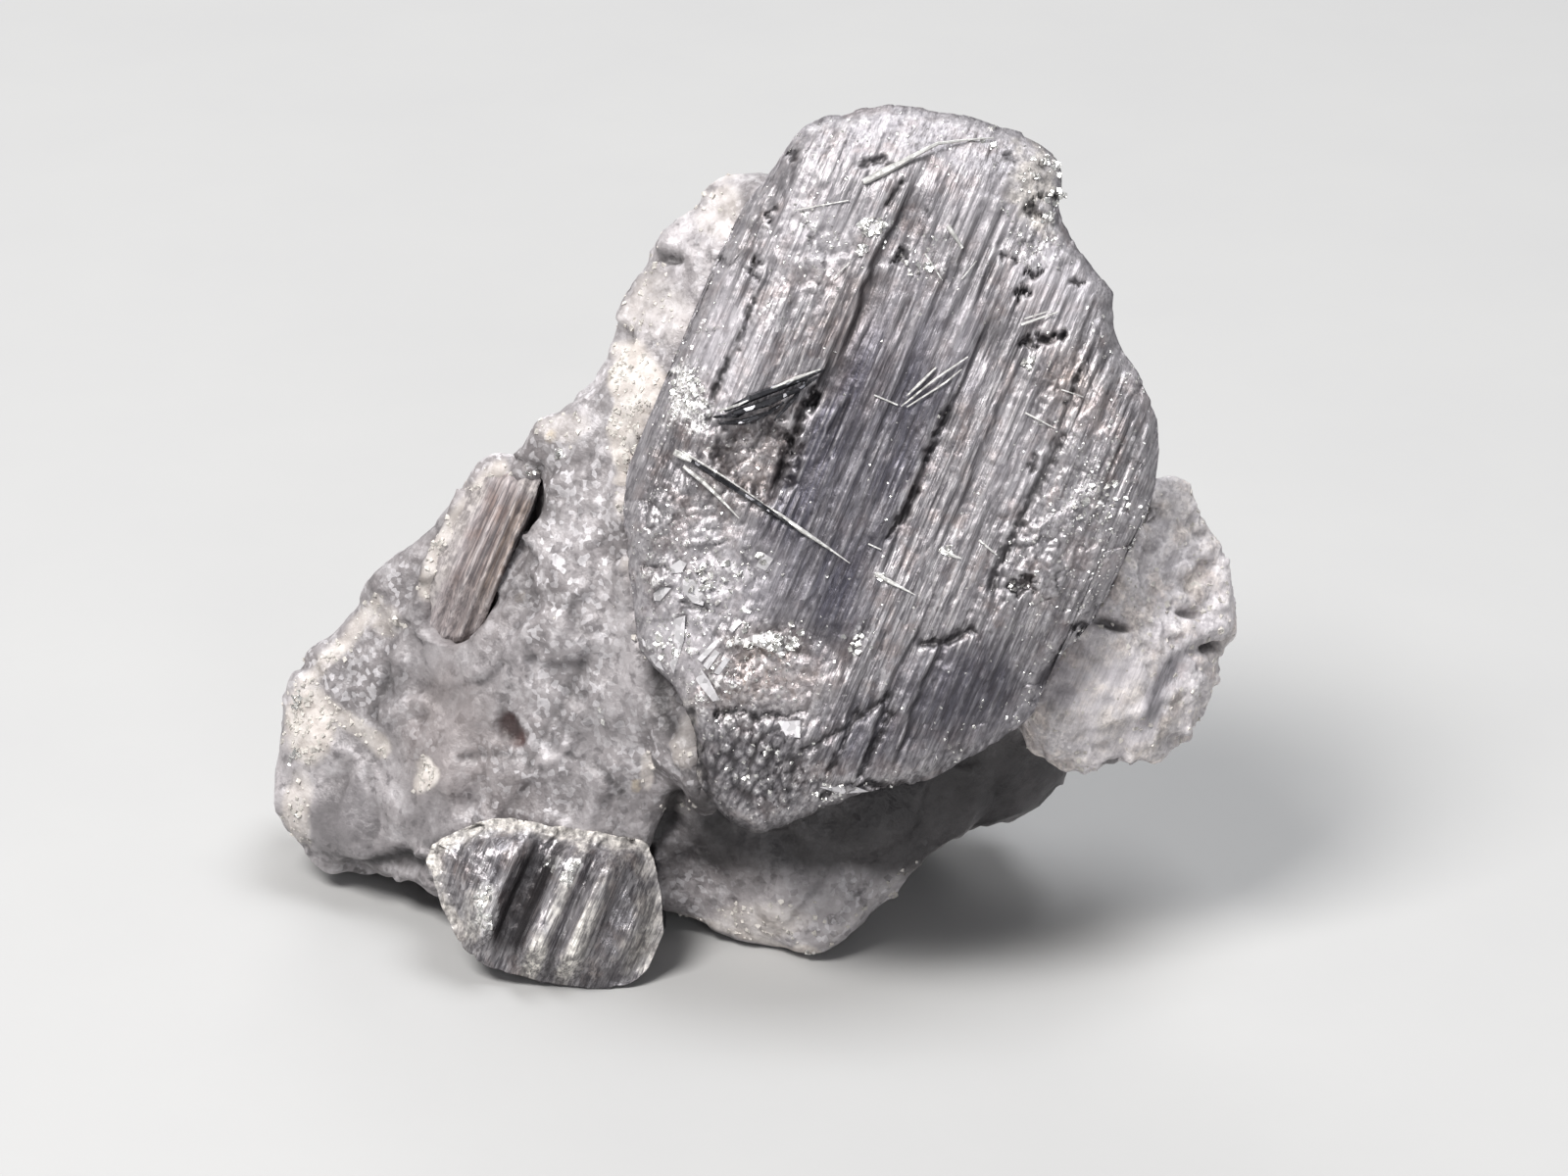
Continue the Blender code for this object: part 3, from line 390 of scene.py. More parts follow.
def broken_relief(u, v):
    """Height of a broken surface of chunks, flakes and chips, and where its palest flakes and dark gaps are; the
    flakes are painted white as glints and the gaps get painted shade.
    """
    wander = 0.25 * drift(at(u * 1.7, v * 1.7), 31)
    chunks = 0.15 * chipped(at(u / 0.95 + wander, v / 0.95, 0.3), 33, True)
    distance, border, tag, _ = grains(at(u / 0.38 + wander, v / 0.30 - wander, 0.3), 35, True)
    flakes = 0.11 * (tag - 0.3) * smooth(border, 0.02, 0.30) - 0.04 * distance
    chips = 0.028 * chipped(at(u / 0.18, v / 0.18, 0.3), 37, True)
    palest = smooth(tag, 0.66, 0.80) * smooth(border, 0.06, 0.26)
    gaps = fading(border, 0.02, 0.14) * smooth(drift(at(u * 1.4, v * 1.4), 38), -0.1, 0.4)
    return chunks + flakes + chips + 0.025 * drift(at(u * 5, v * 5), 39), palest, gaps


def pebbly_relief(along, across):
    """Height of rounded pebbles that lie in runs along the striae, and where their dark gaps and bright tops are:
    painted shade in the gaps and painted highlights on the tops.
    """
    wander = 0.35 * drift(at(along * 1.6, across * 1.6), 43)
    distance, border, tag, _ = grains(at(across / 0.25 + wander, along / 0.36 - wander, 0.3), 41, True)
    dome = np.sqrt(np.clip(1 - (distance / 0.8) ** 2, 0, 1))
    tops = smooth(tag, 0.18, 0.45) * fading(distance, 0.18, 0.42)
    return 0.21 * dome * (0.55 + 0.45 * tag) * smooth(border, 0.0, 0.2) - 0.06, smooth(distance, 0.42, 0.74), tops


def ledge_drop(along, across):
    """Depth below the face left by its ledges, and where their steep sides are."""
    wander = 0.10 * drift(at(along * 0.9, across * 0.3), 51)
    wander = wander + 0.05 * drift(at(along * 2.6, across), 52)
    drop, steep = np.zeros(np.shape(along)), np.zeros(np.shape(along))
    for place, start, end, depth, run in LEDGES:
        past = across + wander - place
        ends = smooth(along, start - 0.8, start + 0.7) * fading(along, end - 0.7, end + 0.8)
        fade = 0.65 + 0.35 * drift(at(along * 0.8, place), 53)
        drop += 0.8 * depth * fade * ends * smooth(past, -0.06, 0.06) * np.clip(1 - past / run, 0, 1) ** 1.3
        line = smooth(past, -0.08, 0.0) * fading(past, 0.02, 0.04 + 0.22 * depth)
        steep = np.maximum(steep, line * ends * fade * min(1.0, depth * 2.2))
    return drop, steep


def face_form(u, v, rim):
    """Height of the big crystal's front at places on it, and its finishes there."""
    along, across = striae_place(u, v)
    wander = 0.60 * layered(at(u * 0.8, v * 0.8), 3, 61)
    ragged = 0.28 * layered(at(u * 3.3, v * 3.3), 3, 62)
    nibble = 0.22 * layered(at(u * 7.0, v * 7.0), 2, 66)
    wu, wv = u + wander + ragged, v + wander * 0.7 - ragged
    # dark gathers painted shade: in the small hollows, the grooves, the rings round the plates, the pebble gaps, the
    # ledges' steep sides, the slits and the gaps between broken flakes
    rough, sunk, dark, cut, flat = (np.zeros(np.shape(u)) for _ in range(5))
    for *area, depth, strength in ROUGH_AREAS:
        mask = oval(wu, wv, *area, 0.6)
        rough = np.maximum(rough, mask * strength)
        sunk = np.maximum(sunk, mask * depth)
    for *centre, half_u, half_v, depth in HOLLOWS:
        mask = oval(u + ragged + nibble, v - ragged * 0.8 + nibble, *centre, half_u * 1.15, half_v * 1.15)
        sunk = np.maximum(sunk, mask * depth)
        if max(half_u, half_v) < 0.7:
            # painted shade in the small hollows
            dark = np.maximum(dark, mask ** 2 * 0.8)
    for run, width, depth in GROOVES:
        distance = np.maximum(0, line_distance(u + ragged * 0.6, v + ragged * 0.6, run) + 0.6 * nibble)
        groove = np.exp(-((distance / width) ** 2))
        cut = np.maximum(cut, groove * depth * (0.75 + 1.5 * nibble))
        # painted shade in the grooves
        dark = np.maximum(dark, groove)
    for corners in PLATES:
        within = inside(u, v, np.array(corners))
        away = line_distance(u + 0.2 * ragged, v, corners + corners[:1])
        flat = np.maximum(flat, np.where(within, 1.0, fading(away, 0.02, 0.10)))
        ring = np.where(within, 0.0, fading(away, 0.03, 0.16)) * smooth(ragged + 0.3 * wander, -0.10, 0.06)
        # painted shade round the plates
        dark = np.maximum(dark, 0.5 * ring)
    pebbles = oval(wu, wv, -3.7, -8.1, 1.8, 1.5, 0.4)
    dome = oval(u, v, -2.8, -5.75, 1.5, 0.8)
    drop, steep = ledge_drop(along, across)
    slits = slit_marks(along, across) * smooth(along, -4.5, 1.5) * (1 - rough)
    edge_break = fading(rim, 0.1, 1.3) * smooth(wander + ragged, -0.12, 0.16)
    rough = np.maximum(rough, 0.6 * edge_break)
    broken, palest, gaps = broken_relief(u, v)
    broken = broken * (1 - 0.6 * smooth(v, 7.2, 8.6)) * (1 - flat) - 0.04 * flat
    relief = (1 - 0.7 * rough) * (striae_relief(along, across) - drop - 0.08 * slits)
    relief = relief + rough * (1 - pebbles) * (1 - 0.7 * dome) * broken
    pebble_height, pebble_gap_shade, pebble_highlights = pebbly_relief(along, across)
    relief = relief + pebbles * pebble_height + 0.10 * dome - cut - sunk
    relief += 0.012 * layered(at(u * 7, v * 7), 2, 71)
    chipping = 0.30 * (0.5 + 0.5 * drift(at(u * 1.6, v * 1.6), 73)) + 0.14
    rounding = chipping * fading(rim, 0.0, 0.35 + 0.5 * chipping) ** 2
    height = relief - steepest(u, v, FRONT_BEVELS) - rounding

    speckle = layered(at(u * 3.5, v * 3.5), 3, 81)
    tan = np.maximum(spots(wu, wv, TAN_AREAS, 0.7), 0.85 * oval(u + ragged, v, -5.5, -7.6, 0.42, 1.9, 0.6))
    brown = np.maximum(0.6 * oval(wu, wv, -0.9, 3.4, 0.8, 2.2, 0.6), spots(wu, wv, BROWN_AREAS, 0.5))
    # frost is painted white as glints: in the glint areas and on the palest broken flakes
    frost = strongest(
        oval(wu, wv, -5.6, 2.0, 0.7, 1.2, 0.5), oval(wu, v + ragged, -3.3, -4.65, 1.2, 0.35, 0.5),
        spots(wu, wv, PAINTED_GLINT_AREAS, 0.6), 0.6 * spots(wu, wv, FLAKY_AREAS, 0.4) * palest * (1 - 0.6 * dome))
    loose_along, loose_across = along + 1.3 * wander + 1.5 * ragged, across + 0.7 * wander + 0.5 * ragged
    band = smooth(loose_across, -3.3, -2.1) * fading(loose_across, 0.3, 1.5) * smooth(loose_along, -6.6, -4.2)
    band = band * (0.85 + 0.5 * layered(at(across * 1.6, along * 0.6), 2, 83))
    # the dark patches: partly tarnish, partly painted shade on the lower face
    band = strongest(band * (1 - 0.8 * smooth(loose_along, 2.2, 6.0)), 0.8 * pebbles, spots(wu, wv, DARK_PATCHES, 0.5))
    # a painted highlight along the rim, except low down
    pale = 0.5 * fading(rim, 0.15, 0.8) * (1 - 0.8 * pebbles) * smooth(v, -9.0, -6.0)
    pale = np.maximum(pale, spots(wu, wv, PALE_AREAS, 0.6))
    pale = pale * (0.85 + 0.35 * layered(at(across * 2.2, along * 0.9, 3.0), 3, 85))
    # painted shade in the pebble gaps and on the ledges' steep sides
    dark = strongest(dark, 0.85 * pebble_gap_shade * pebbles, 0.8 * steep * (1 - 0.5 * rough))
    finishes = {
        "rough": rough * (1 - 0.6 * pebbles), "crust": tan * (0.85 + 0.5 * speckle),
        # painted shade in the slits and in the gaps between broken flakes
        "dark": dark + 0.45 * slits + 0.6 * gaps * rough,
        # painted highlights on the pebbles' tops
        "frost": np.maximum(frost * (0.8 + 0.5 * speckle), 0.78 * pebble_highlights * pebbles),
        "band": band * (1 - 0.5 * rough), "pale": pale, "brown": brown * (1 + speckle),
    }
    return height, {key: np.clip(values, 0, 1) for key, values in finishes.items()}


def back_form(u, v, rim):
    """Height of the big crystal's back above its lowest."""
    along, across = striae_place(u, v)
    relief = 0.3 + 0.3 * layered(at(u * 0.6, v * 0.6), 3, 91)
    relief = relief + 0.25 * laths(along, across, 0.9, 5.0, 93) + 0.4 * fading(rim, 0.0, 0.8) ** 2
    return steepest(u, v, BACK_BEVELS) + relief


def fluted_form(u, v, rim):
    """Height of the fluted crystal's front, and its finishes."""
    along, across = striae_place(u, v)
    bent = across + 0.05 * drift(at(along * 0.6, across * 0.4), 101)
    places, heights = zip(*FLUTED_PROFILE)
    flutes = sum(np.interp(bent + shift, places, heights) for shift in (-0.14, -0.05, 0.05, 0.14)) / 4
    edge = fading(rim, 0.0, 1.0)
    fine = 0.4 * striae_relief(along, across + 3.0) + 0.10 * layered(at(u * 1.1, v * 1.1), 2, 105)
    crust = np.maximum(edge * smooth(v, -11.4, -10.4), 0.9 * edge * smooth(-u, 11.0, 11.8) * smooth(v, -13.6, -12.4))
    # the black band fills the deepest furrow: partly its own black, partly painted shade
    black = smooth(bent, -5.3, -5.1) * fading(bent, -4.42, -4.2) * (1 - edge)
    height = FLUTED_FRONT + flutes * (1 - edge) - 1.15 * edge + fine * (1 - crust) * (1 - 0.8 * black)
    height = height + crust * broken_relief(u, v)[0] + 0.02 * drift(at(u * 5, v * 5), 103)
    # light on the ribs, dark in the furrows: partly crust, partly painted highlight and shade
    stripes = np.interp(bent, *zip(*FLUTED_STRIPES))
    stripes = stripes * (0.75 + 0.5 * layered(at(u * 0.9, v * 0.9), 2, 107))
    stripes = stripes * (1 - 0.8 * smooth(v, -11.9, -11.1) * fading(bent, -5.4, -5.2))
    finishes = {
        "rough": 0.7 * crust, "crust": np.maximum(stripes, 0.8 * crust), "band": np.zeros(np.shape(u)),
        "dark": black + 0.25 * smooth(bent, -2.6, -2.3) * fading(bent, -1.2, -0.6),
        # painted glints at the black band's top
        "frost": spots(u, v, FLUTED_GLINTS) * 1.2 + 0.2 * crust + spots(u, v, FLUTED_FROST),
    }
    return height, {key: np.clip(values, 0, 1) for key, values in finishes.items()}


def blade_form(u, v, rim):
    """Height of the dark blade's front, and its finishes."""
    along, across = striae_place(u - BLADE_PLACE[0], v - BLADE_PLACE[1])
    places, heights = zip(*BLADE_PROFILE)
    height = BLADE_PLACE[2] + np.interp(across, places, heights) + 0.45 * striae_relief(along, across + 9.0)
    height = height - 0.25 * fading(rim, 0.0, 0.3) ** 2
    height = height - 0.9 * smooth(-along, 0.7, 2.9) - 0.3 * smooth(along, 1.9, 2.7)
    slit = smooth(along, -1.5, -0.8)
    ragged = 0.25 * layered(at(u * 1.2, v * 1.2), 2, 121)
    left = np.maximum(fading(across + ragged, -0.85, -0.25), smooth(along + 2 * ragged, 1.8, 2.4))
    brown = 0.9 * (1 - left) * smooth(across, 0.1, 0.35) + 0.5 * (1 - slit)
    return height, {
        # the dark along the right edge is painted shade in the slit beside the rock
        "rough": 0.3 * left, "crust": 0.7 * left, "dark": smooth(across, 0.62, 0.85) * slit, "frost": 0.2 * left,
        "band": np.zeros(np.shape(u)), "pale": 0.45 * left + 0.35 * (1 - slit), "brown": np.clip(brown, 0, 1),
    }


def unevenness(height, passes):
    """How far each place of a grid stands above its surroundings, in the same measure."""
    even = height.copy()
    for _ in range(passes):
        framed = np.pad(even, 1, mode="edge")
        even = (framed[:-2, 1:-1] + framed[2:, 1:-1] + framed[1:-1, :-2] + framed[1:-1, 2:]) / 4
    return height - even


def plain_back(u, v, rim):
    """Height of a small crystal's plain back."""
    return 0.3 * fading(rim, 0.0, 0.8) + 0.1 * drift(at(u, v), 111)


# ---------------------------------------------------------------- the meshes of the crystals

OUTLINE_STEP, PLAIN_STEP = 0.05, 0.12
PLACES_AT_ONCE = 4000  # keeps the memory that rim_distance needs small
SLAB_JAG, SLAB_SEED = 0.10, 400
PROUD_REACH = 0.036  # how far a place stands out of its surroundings where it counts as wholly proud or hollow
# On the walls, hollow paints shade and proud a highlight, both varied at random.
WALL_FINISHES = {
    "rough": 0.7, "crust": 0.15, "dark": 0.1, "frost": 0.1, "band": 0.0, "hollow": 0.3, "proud": 0.2, "pale": 0.5,
    "brown": 0.15,
}


def rounded_outline(corners, step, jag, seed):
    """A closed outline drawn smoothly through its corners, with small broken steps along it."""
    corners = np.array(corners, float)
    points = []
    for i in range(len(corners)):
        a, b, c, d = (corners[(i + k) % len(corners)] for k in (-1, 0, 1, 2))
        for share in np.arange(0, 1, step / max(step, np.linalg.norm(c - b))):
            points.append(0.5 * (2 * b + (c - a) * share + (2 * a - 5 * b + 4 * c - d) * share ** 2
                                 + (3 * b - a - 3 * c + d) * share ** 3))
    points = np.array(points)
    run = np.roll(points, -1, 0) - np.roll(points, 1, 0)
    inward = np.stack([run[:, 1], -run[:, 0]], 1) / np.maximum(1e-9, np.linalg.norm(run, axis=1))[:, None]
    place = at(points[:, 0] * 2.2, points[:, 1] * 2.2)
    depth = jag * (0.5 + 0.5 * layered(place, 3, seed)) + jag * 0.6 * np.abs(chipped(place * 0.9, seed + 5, True))
    return points + inward * depth[:, None]


def plain_outline(corners):
    """An outline drawn smoothly through its corners, without broken steps, to measure distances from."""
    return rounded_outline(corners, PLAIN_STEP, 0.0, 1)


def chord_ends(outline, stripes):
    """The lowest and highest reach along the striae of an outline, at each place across them."""
    along, across = striae_place(outline[:, 0], outline[:, 1])
    low, high = np.full(len(stripes), np.inf), np.full(len(stripes), -np.inf)
    for i in range(len(outline)):
        a, b = across[i - 1], across[i]
        if a == b:
            continue
        share = (stripes - a) / (b - a)
        met = (share >= 0) & (share <= 1)
        reach = along[i - 1] + share * (along[i] - along[i - 1])
        low = np.where(met, np.minimum(low, reach), low)
        high = np.where(met, np.maximum(high, reach), high)
    return low, high


def stripe_places(outline, count, end):
    """Places across the striae, closer together where the outline runs along them."""
    across = striae_place(outline[:, 0], outline[:, 1])[1]
    trial = np.linspace(across.min() + end, across.max() - end, 1500)
    low, high = chord_ends(outline, trial)
    pace = np.diff(trial)
    for reach in (low, high):
        pace = pace + 0.16 * np.minimum(np.abs(np.diff(reach)), 0.4)
    gone = np.concatenate([[0.0], np.cumsum(pace)])
    return np.interp(np.linspace(0, gone[-1], count + 1), gone, trial)


def rim_distance(u, v, outline):
    """Distance of places from an outline given by close points."""
    shape = np.shape(u)
    u, v = np.ravel(u), np.ravel(v)
    nearest = np.empty(len(u))
    for start in range(0, len(u), PLACES_AT_ONCE):
        part = slice(start, start + PLACES_AT_ONCE)
        gap = np.hypot(u[part, None] - outline[None, :, 0], v[part, None] - outline[None, :, 1])
        nearest[part] = gap.min(1)
    return nearest.reshape(shape)


def grid_faces(rows, columns, first, flip):
    """Corner numbers of the quads of a grid of rows by columns points."""
    index = first + np.arange(rows * columns).reshape(rows, columns)
    quads = np.stack([index[:-1, :-1], index[1:, :-1], index[1:, 1:], index[:-1, 1:]], -1).reshape(-1, 4)
    return quads[:, ::-1] if flip else quads


def grid_border(rows, columns, first):
    """Point numbers round the border of a grid."""
    index = first + np.arange(rows * columns).reshape(rows, columns)
    return np.concatenate([index[:-1, 0], index[-1, :-1], index[:0:-1, -1], index[0, :0:-1]])


def fan(fine, coarse):
    """Triangles that join a closed border to one with half as many points."""
    faces = []
    for i, own in enumerate(coarse):
        after = coarse[(i + 1) % len(coarse)]
        a, b, c = fine[2 * i], fine[2 * i + 1], fine[(2 * i + 2) % len(fine)]
        faces += [(own, b, a), (own, after, b), (after, c, b)]
    return faces


def crystal_mesh(name, corners, stripes, rows, thick, front_form, rear_form, levels, jag, seed):
    """A closed crystal: a fine front in stripes along the striae, broken walls and a plainer back."""
    outline = rounded_outline(corners, OUTLINE_STEP, jag, seed)
    across = stripe_places(outline, stripes, 0.10)
    low, high = chord_ends(outline, across)
    share = np.linspace(0, 1, rows + 1)
    along = low[:, None] + share[None, :] * (high - low)[:, None]
    u, v = face_place(along, across[:, None])
    rim = rim_distance(u, v, outline)
    front, finishes = front_form(u, v, rim)
    # places that stand in get painted shade (hollow) and places that stand out a painted highlight (proud)
    proud = unevenness(front, 6) / PROUD_REACH
    finishes["hollow"] = np.clip(-proud, 0, 1)
    finishes["proud"] = np.clip(proud, 0, 1)
    back_u, back_v = u[::4, ::4], v[::4, ::4]
    middle = np.max(front)
    back = middle - thick + rear_form(back_u, back_v, rim[::4, ::4])
    back = np.minimum(back, front[::4, ::4] - 0.6)

    border = grid_border(stripes + 1, rows + 1, 0)
    rear_border = grid_border(stripes // 4 + 1, rows // 4 + 1, 0)
    edge = border[::2]
    eu, ev, ew = u.ravel()[edge], v.ravel()[edge], front.ravel()[edge]
    rear_w = np.interp(np.arange(len(edge)), np.arange(0, len(edge) + 1, 2),
                       np.append(back.ravel()[rear_border], back.ravel()[rear_border][0]))
    run_u, run_v = np.roll(eu, -2) - np.roll(eu, 2), np.roll(ev, -2) - np.roll(ev, 2)
    length = np.maximum(1e-9, np.hypot(run_u, run_v))
    middle_u, middle_v = eu.mean(), ev.mean()
    in_u, in_v = -run_v / length, run_u / length
    turn = np.sign(in_u * (middle_u - eu) + in_v * (middle_v - ev))
    turn = 1.0 if turn.mean() > 0 else -1.0
    in_u, in_v = in_u * turn, in_v * turn
    rings = []
    for level in range(1, levels):
        depth = level / levels
        w = ew + (rear_w - ew) * depth
        place = at(eu * 1.5, ev * 1.5, w * 1.1)
        chips = 0.5 + 0.5 * layered(place, 3, seed + 7) + 0.8 * np.abs(chipped(place * 0.8, seed + 9))
        chips = chips + 0.55 * chipped(place * 1.9, seed + 11)
        inset = 0.26 * chips * math.sin(math.pi * min(1.0, depth * 1.15)) ** 0.5 if depth < 0.95 else 0.1 * chips
        rings.append((eu + in_u * inset, ev + in_v * inset, w))
    us, vs, ws = (
        np.concatenate([fine.ravel(), *(ring[k] for ring in rings), plain.ravel()])
        for k, (fine, plain) in enumerate(((u, back_u), (v, back_v), (front, back)))
    )

    first_ring, count = u.size, len(edge)
    first_back = first_ring + count * len(rings)
    faces = [tuple(q) for q in grid_faces(stripes + 1, rows + 1, 0, False).tolist()]
    faces += fan(border.tolist(), list(range(first_ring, first_ring + count)))
    for level in range(len(rings) - 1):
        upper, lower = first_ring + level * count, first_ring + (level + 1) * count
        for i in range(count):
            j = (i + 1) % count
            faces.append((upper + i, lower + i, lower + j, upper + j))
    last = [first_back - count + i for i in range(count)]
    rear = [first_back + i for i in rear_border.tolist()]
    faces += [tuple(reversed(face)) for face in fan(last, rear)]
    faces += [tuple(q) for q in grid_faces(stripes // 4 + 1, rows // 4 + 1, first_back, True).tolist()]

    wall = slice(u.size, None)
    vary = np.clip(1 + 1.6 * layered(at(us[wall], vs[wall], ws[wall]) * 0.9, 4, seed + 13), 0, 2)
    spread = {key: np.concatenate([np.ravel(values), WALL_FINISHES[key] * vary]) for key, values in finishes.items()}
    return new_mesh(name, placed(us, vs, ws), faces, spread)


def new_object(name, data):
    """An object of some data, linked into the scene."""
    obj = bpy.data.objects.new(name, data)
    bpy.context.scene.collection.objects.link(obj)
    return obj


def new_mesh(name, places, faces, finishes):
    """A mesh object with smooth faces that look outwards and its finishes as point attributes."""
    mesh = bpy.data.meshes.new(name)
    mesh.from_pydata(np.asarray(places).tolist(), [], faces)
    mesh.validate()
    bm = bmesh.new()
    bm.from_mesh(mesh)
    bmesh.ops.recalc_face_normals(bm, faces=bm.faces)
    if bm.calc_volume(signed=True) < 0:
        bmesh.ops.reverse_faces(bm, faces=bm.faces)
    bm.to_mesh(mesh)
    bm.free()
    mesh.shade_smooth()
    paint(mesh, finishes)
    return new_object(name, mesh)


def paint(mesh, finishes):
    """Adds finishes to a mesh as point attributes."""
    for key, values in finishes.items():
        made = mesh.attributes.new(key, "FLOAT", "POINT")
        made.data.foreach_set("value", np.ascontiguousarray(values, np.float32).ravel())


# ---------------------------------------------------------------- the rocks

# Lumps joined to the matrix: centre and half-sizes, in world millimetres.
BACK_FILLS = (  # these close clefts in the rock's back and behind the blade
    ((-3.0, 3.95, 12.0), (0.85, 1.05, 2.1)), ((-8.6, 3.75, 4.3), (1.0, 1.1, 2.1)),
    ((-2.6, 4.3, 12.9), (0.7, 0.7, 0.9)), ((-8.3, 4.1, 5.6), (0.9, 0.6, 0.7)),
    ((-7.15, 2.5, 12.0), (0.6, 0.6, 0.7)), ((-7.95, 2.1, 11.1), (0.6, 0.6, 0.7)),
)
BLADE_CREEP = (  # lumps of rock that creep over the blade's left side and its top end
    ((-9.40, 0.84, 8.94), (0.50, 0.50, 0.60)), ((-9.01, 1.00, 9.88), (0.46, 0.50, 0.60)),
    ((-8.62, 1.22, 10.79), (0.52, 0.52, 0.58)), ((-8.23, 1.58, 11.64), (0.44, 0.50, 0.60)),
    ((-7.54, 1.90, 12.28), (0.46, 0.52, 0.46)), ((-6.95, 1.85, 12.66), (0.55, 0.55, 0.38)),
    ((-6.20, 1.50, 12.86), (0.50, 0.50, 0.40)),
)


def add_lumps(mesh, lumps):
    """Adds rough rounded lumps to a rock before its skin is drawn round everything."""
    bm = bmesh.new()
    bm.from_mesh(mesh)
    for centre, halves in lumps:
        made = bmesh.ops.create_icosphere(bm, subdivisions=2, radius=1.0)["verts"]
        ways = np.array([tuple(vert.co) for vert in made])
        reach = 0.95 + 0.25 * drift(ways * 1.7 + centre[0], 401)
        for vert, place in zip(made, (np.array(centre) + ways * reach[:, None] * np.array(halves)) * MM):
            vert.co = place
    bm.to_mesh(mesh)
    bm.free()


def rock_skin(node, name, cell, passes, lumps=()):
    """A fine, closed copy of a packed rock."""
    rough = new_object(name + "_rough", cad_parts[node].data.copy())
    add_lumps(rough.data, lumps)
    remesh = rough.modifiers.new("Remesh", "REMESH")
    remesh.mode = "VOXEL"
    remesh.voxel_size = cell * MM
    even = rough.modifiers.new("Smooth", "SMOOTH")
    even.factor = 0.5
    even.iterations = passes
    bpy.context.view_layer.update()
    graph = bpy.context.evaluated_depsgraph_get()
    mesh = bpy.data.meshes.new_from_object(rough.evaluated_get(graph))
    bpy.data.objects.remove(rough)
    mesh.materials.clear()
    mesh.name = name
    mesh.shade_smooth()
    return new_object(name, mesh)


def mesh_arrays(mesh):
    """The places and outward ways of a mesh's points."""
    places = np.empty(len(mesh.vertices) * 3, np.float32)
    ways = np.empty(len(mesh.vertices) * 3, np.float32)
    mesh.vertices.foreach_get("co", places)
    mesh.vertices.foreach_get("normal", ways)
    return places.reshape(-1, 3).astype(float), ways.reshape(-1, 3).astype(float)


def evened(mesh, places, share, rounds):
    """Places moved a share of the way to the middle of their neighbours, some rounds over."""
    edges = np.empty(len(mesh.edges) * 2, np.int32)
    mesh.edges.foreach_get("vertices", edges)
    first, second = edges[::2], edges[1::2]
    count = np.maximum(1, np.bincount(edges, minlength=len(places)))[:, None]
    for _ in range(rounds):
        total = np.stack([
            np.bincount(first, places[second, k], len(places)) + np.bincount(second, places[first, k], len(places))
            for k in range(3)
        ], 1)
        places = places + share * (total / count - places)
    return places


def kept_in_box(places, margin):
    """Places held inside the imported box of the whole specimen."""
    low, high = np.array(cad_box[0]), np.array(cad_box[1])
    return np.clip(places, low + np.array((margin, margin, 0)) * MM, high - margin * MM)


CREAM = (  # bright cream crust: along the seam beside the big crystal, the sliver above it and the far left
    (-7.3, 2.6, 0.8, 1.3, 1.0), (-7.6, 0.8, 0.5, 1.6, 1.0), (-6.0, -7.6, 0.25, 1.0, 0.5),
    (-6.6, 4.8, 1.0, 1.6, 0.42), (-4.9, 7.4, 1.0, 1.2, 0.45), (-16.6, -7.2, 0.9, 1.4, 0.8),
    (-13.0, -8.4, 0.5, 0.55, 0.9), (-16.9, -9.8, 0.6, 1.6, 0.6), (-14.4, -4.2, 0.6, 0.6, 0.5),
    (-6.8, -8.3, 0.3, 0.7, 0.6), (-9.2, 1.2, 0.9, 0.5, 0.5), (-5.9, -9.3, 0.7, 0.5, 0.4),
    # this last patch lightens the plate's lower part: painted light where light falls on it
    (-3.6, -12.6, 1.8, 0.7, 0.5),
)
GREY_PATCHES = (  # darker, smoother rock
    (-15.6, -9.8, 1.1, 1.1, 1.25), (-13.2, -3.0, 1.0, 1.6, 0.35), (-12.6, -5.0, 1.4, 1.0, 0.5),
    (-7.4, -6.8, 0.9, 1.0, 0.5), (-13.0, -9.6, 0.8, 1.4, 0.6), (-8.8, -4.8, 0.8, 0.9, 0.35),
    # the last patch on this line, on the plate under the big crystal's right side, is painted shadow
    (-10.2, -5.0, 0.5, 0.5, 0.45), (-14.2, -6.6, 0.5, 1.4, 0.5), (2.5, -9.0, 4.0, 1.6, 1.0),
    (-8.2, -8.8, 1.4, 0.8, 0.5),
)
BROWN_PATCHES = (
    (-11.9, -2.4, 1.7, 3.0, 0.75), (-10.7, -7.2, 0.5, 0.5, 0.9), (-13.4, -0.8, 1.0, 0.8, 0.4),
    (-12.4, -7.4, 1.9, 2.0, 0.9), (-3.4, -11.6, 3.0, 1.4, 0.25), (-10.7, -8.9, 1.0, 0.7, 0.5),
)
YELLOW_SPOTS = (
    (-17.0, -10.8, 0.25, 0.25, 1.0), (-7.1, -8.7, 0.2, 0.3, 1.0), (-9.5, 0.9, 0.2, 0.2, 0.8),
    (-11.4, 0.6, 0.25, 0.2, 0.7), (-10.4, -3.4, 0.25, 0.2, 0.7),
)
LIGHT_EDGES = (  # pale edges and ridges of the rock: their runs, half-width and strength
    (((-16.4, -6.4), (-15.5, -7.0), (-14.5, -7.8)), 0.32, 0.8),
    (((-17.0, -6.3), (-15.6, -4.9), (-14.6, -3.6)), 0.25, 0.6),
    # the runs along the plate's lower edges and the short one at its tip are painted highlights
    (((-5.9, -12.4), (-4.0, -13.1), (-2.3, -13.55)), 0.16, 0.65),
    (((-1.7, -13.1), (-0.3, -11.8), (0.9, -10.8)), 0.12, 0.35), (((-2.5, -13.4), (-2.1, -13.5)), 0.22, 0.9),
    (((-10.9, 0.1), (-11.6, -0.5), (-12.8, -2.0), (-13.1, -3.3)), 0.30, 0.7),
    (((-12.6, 0.1), (-11.0, 1.4), (-9.6, 2.4)), 0.16, 0.5),
)
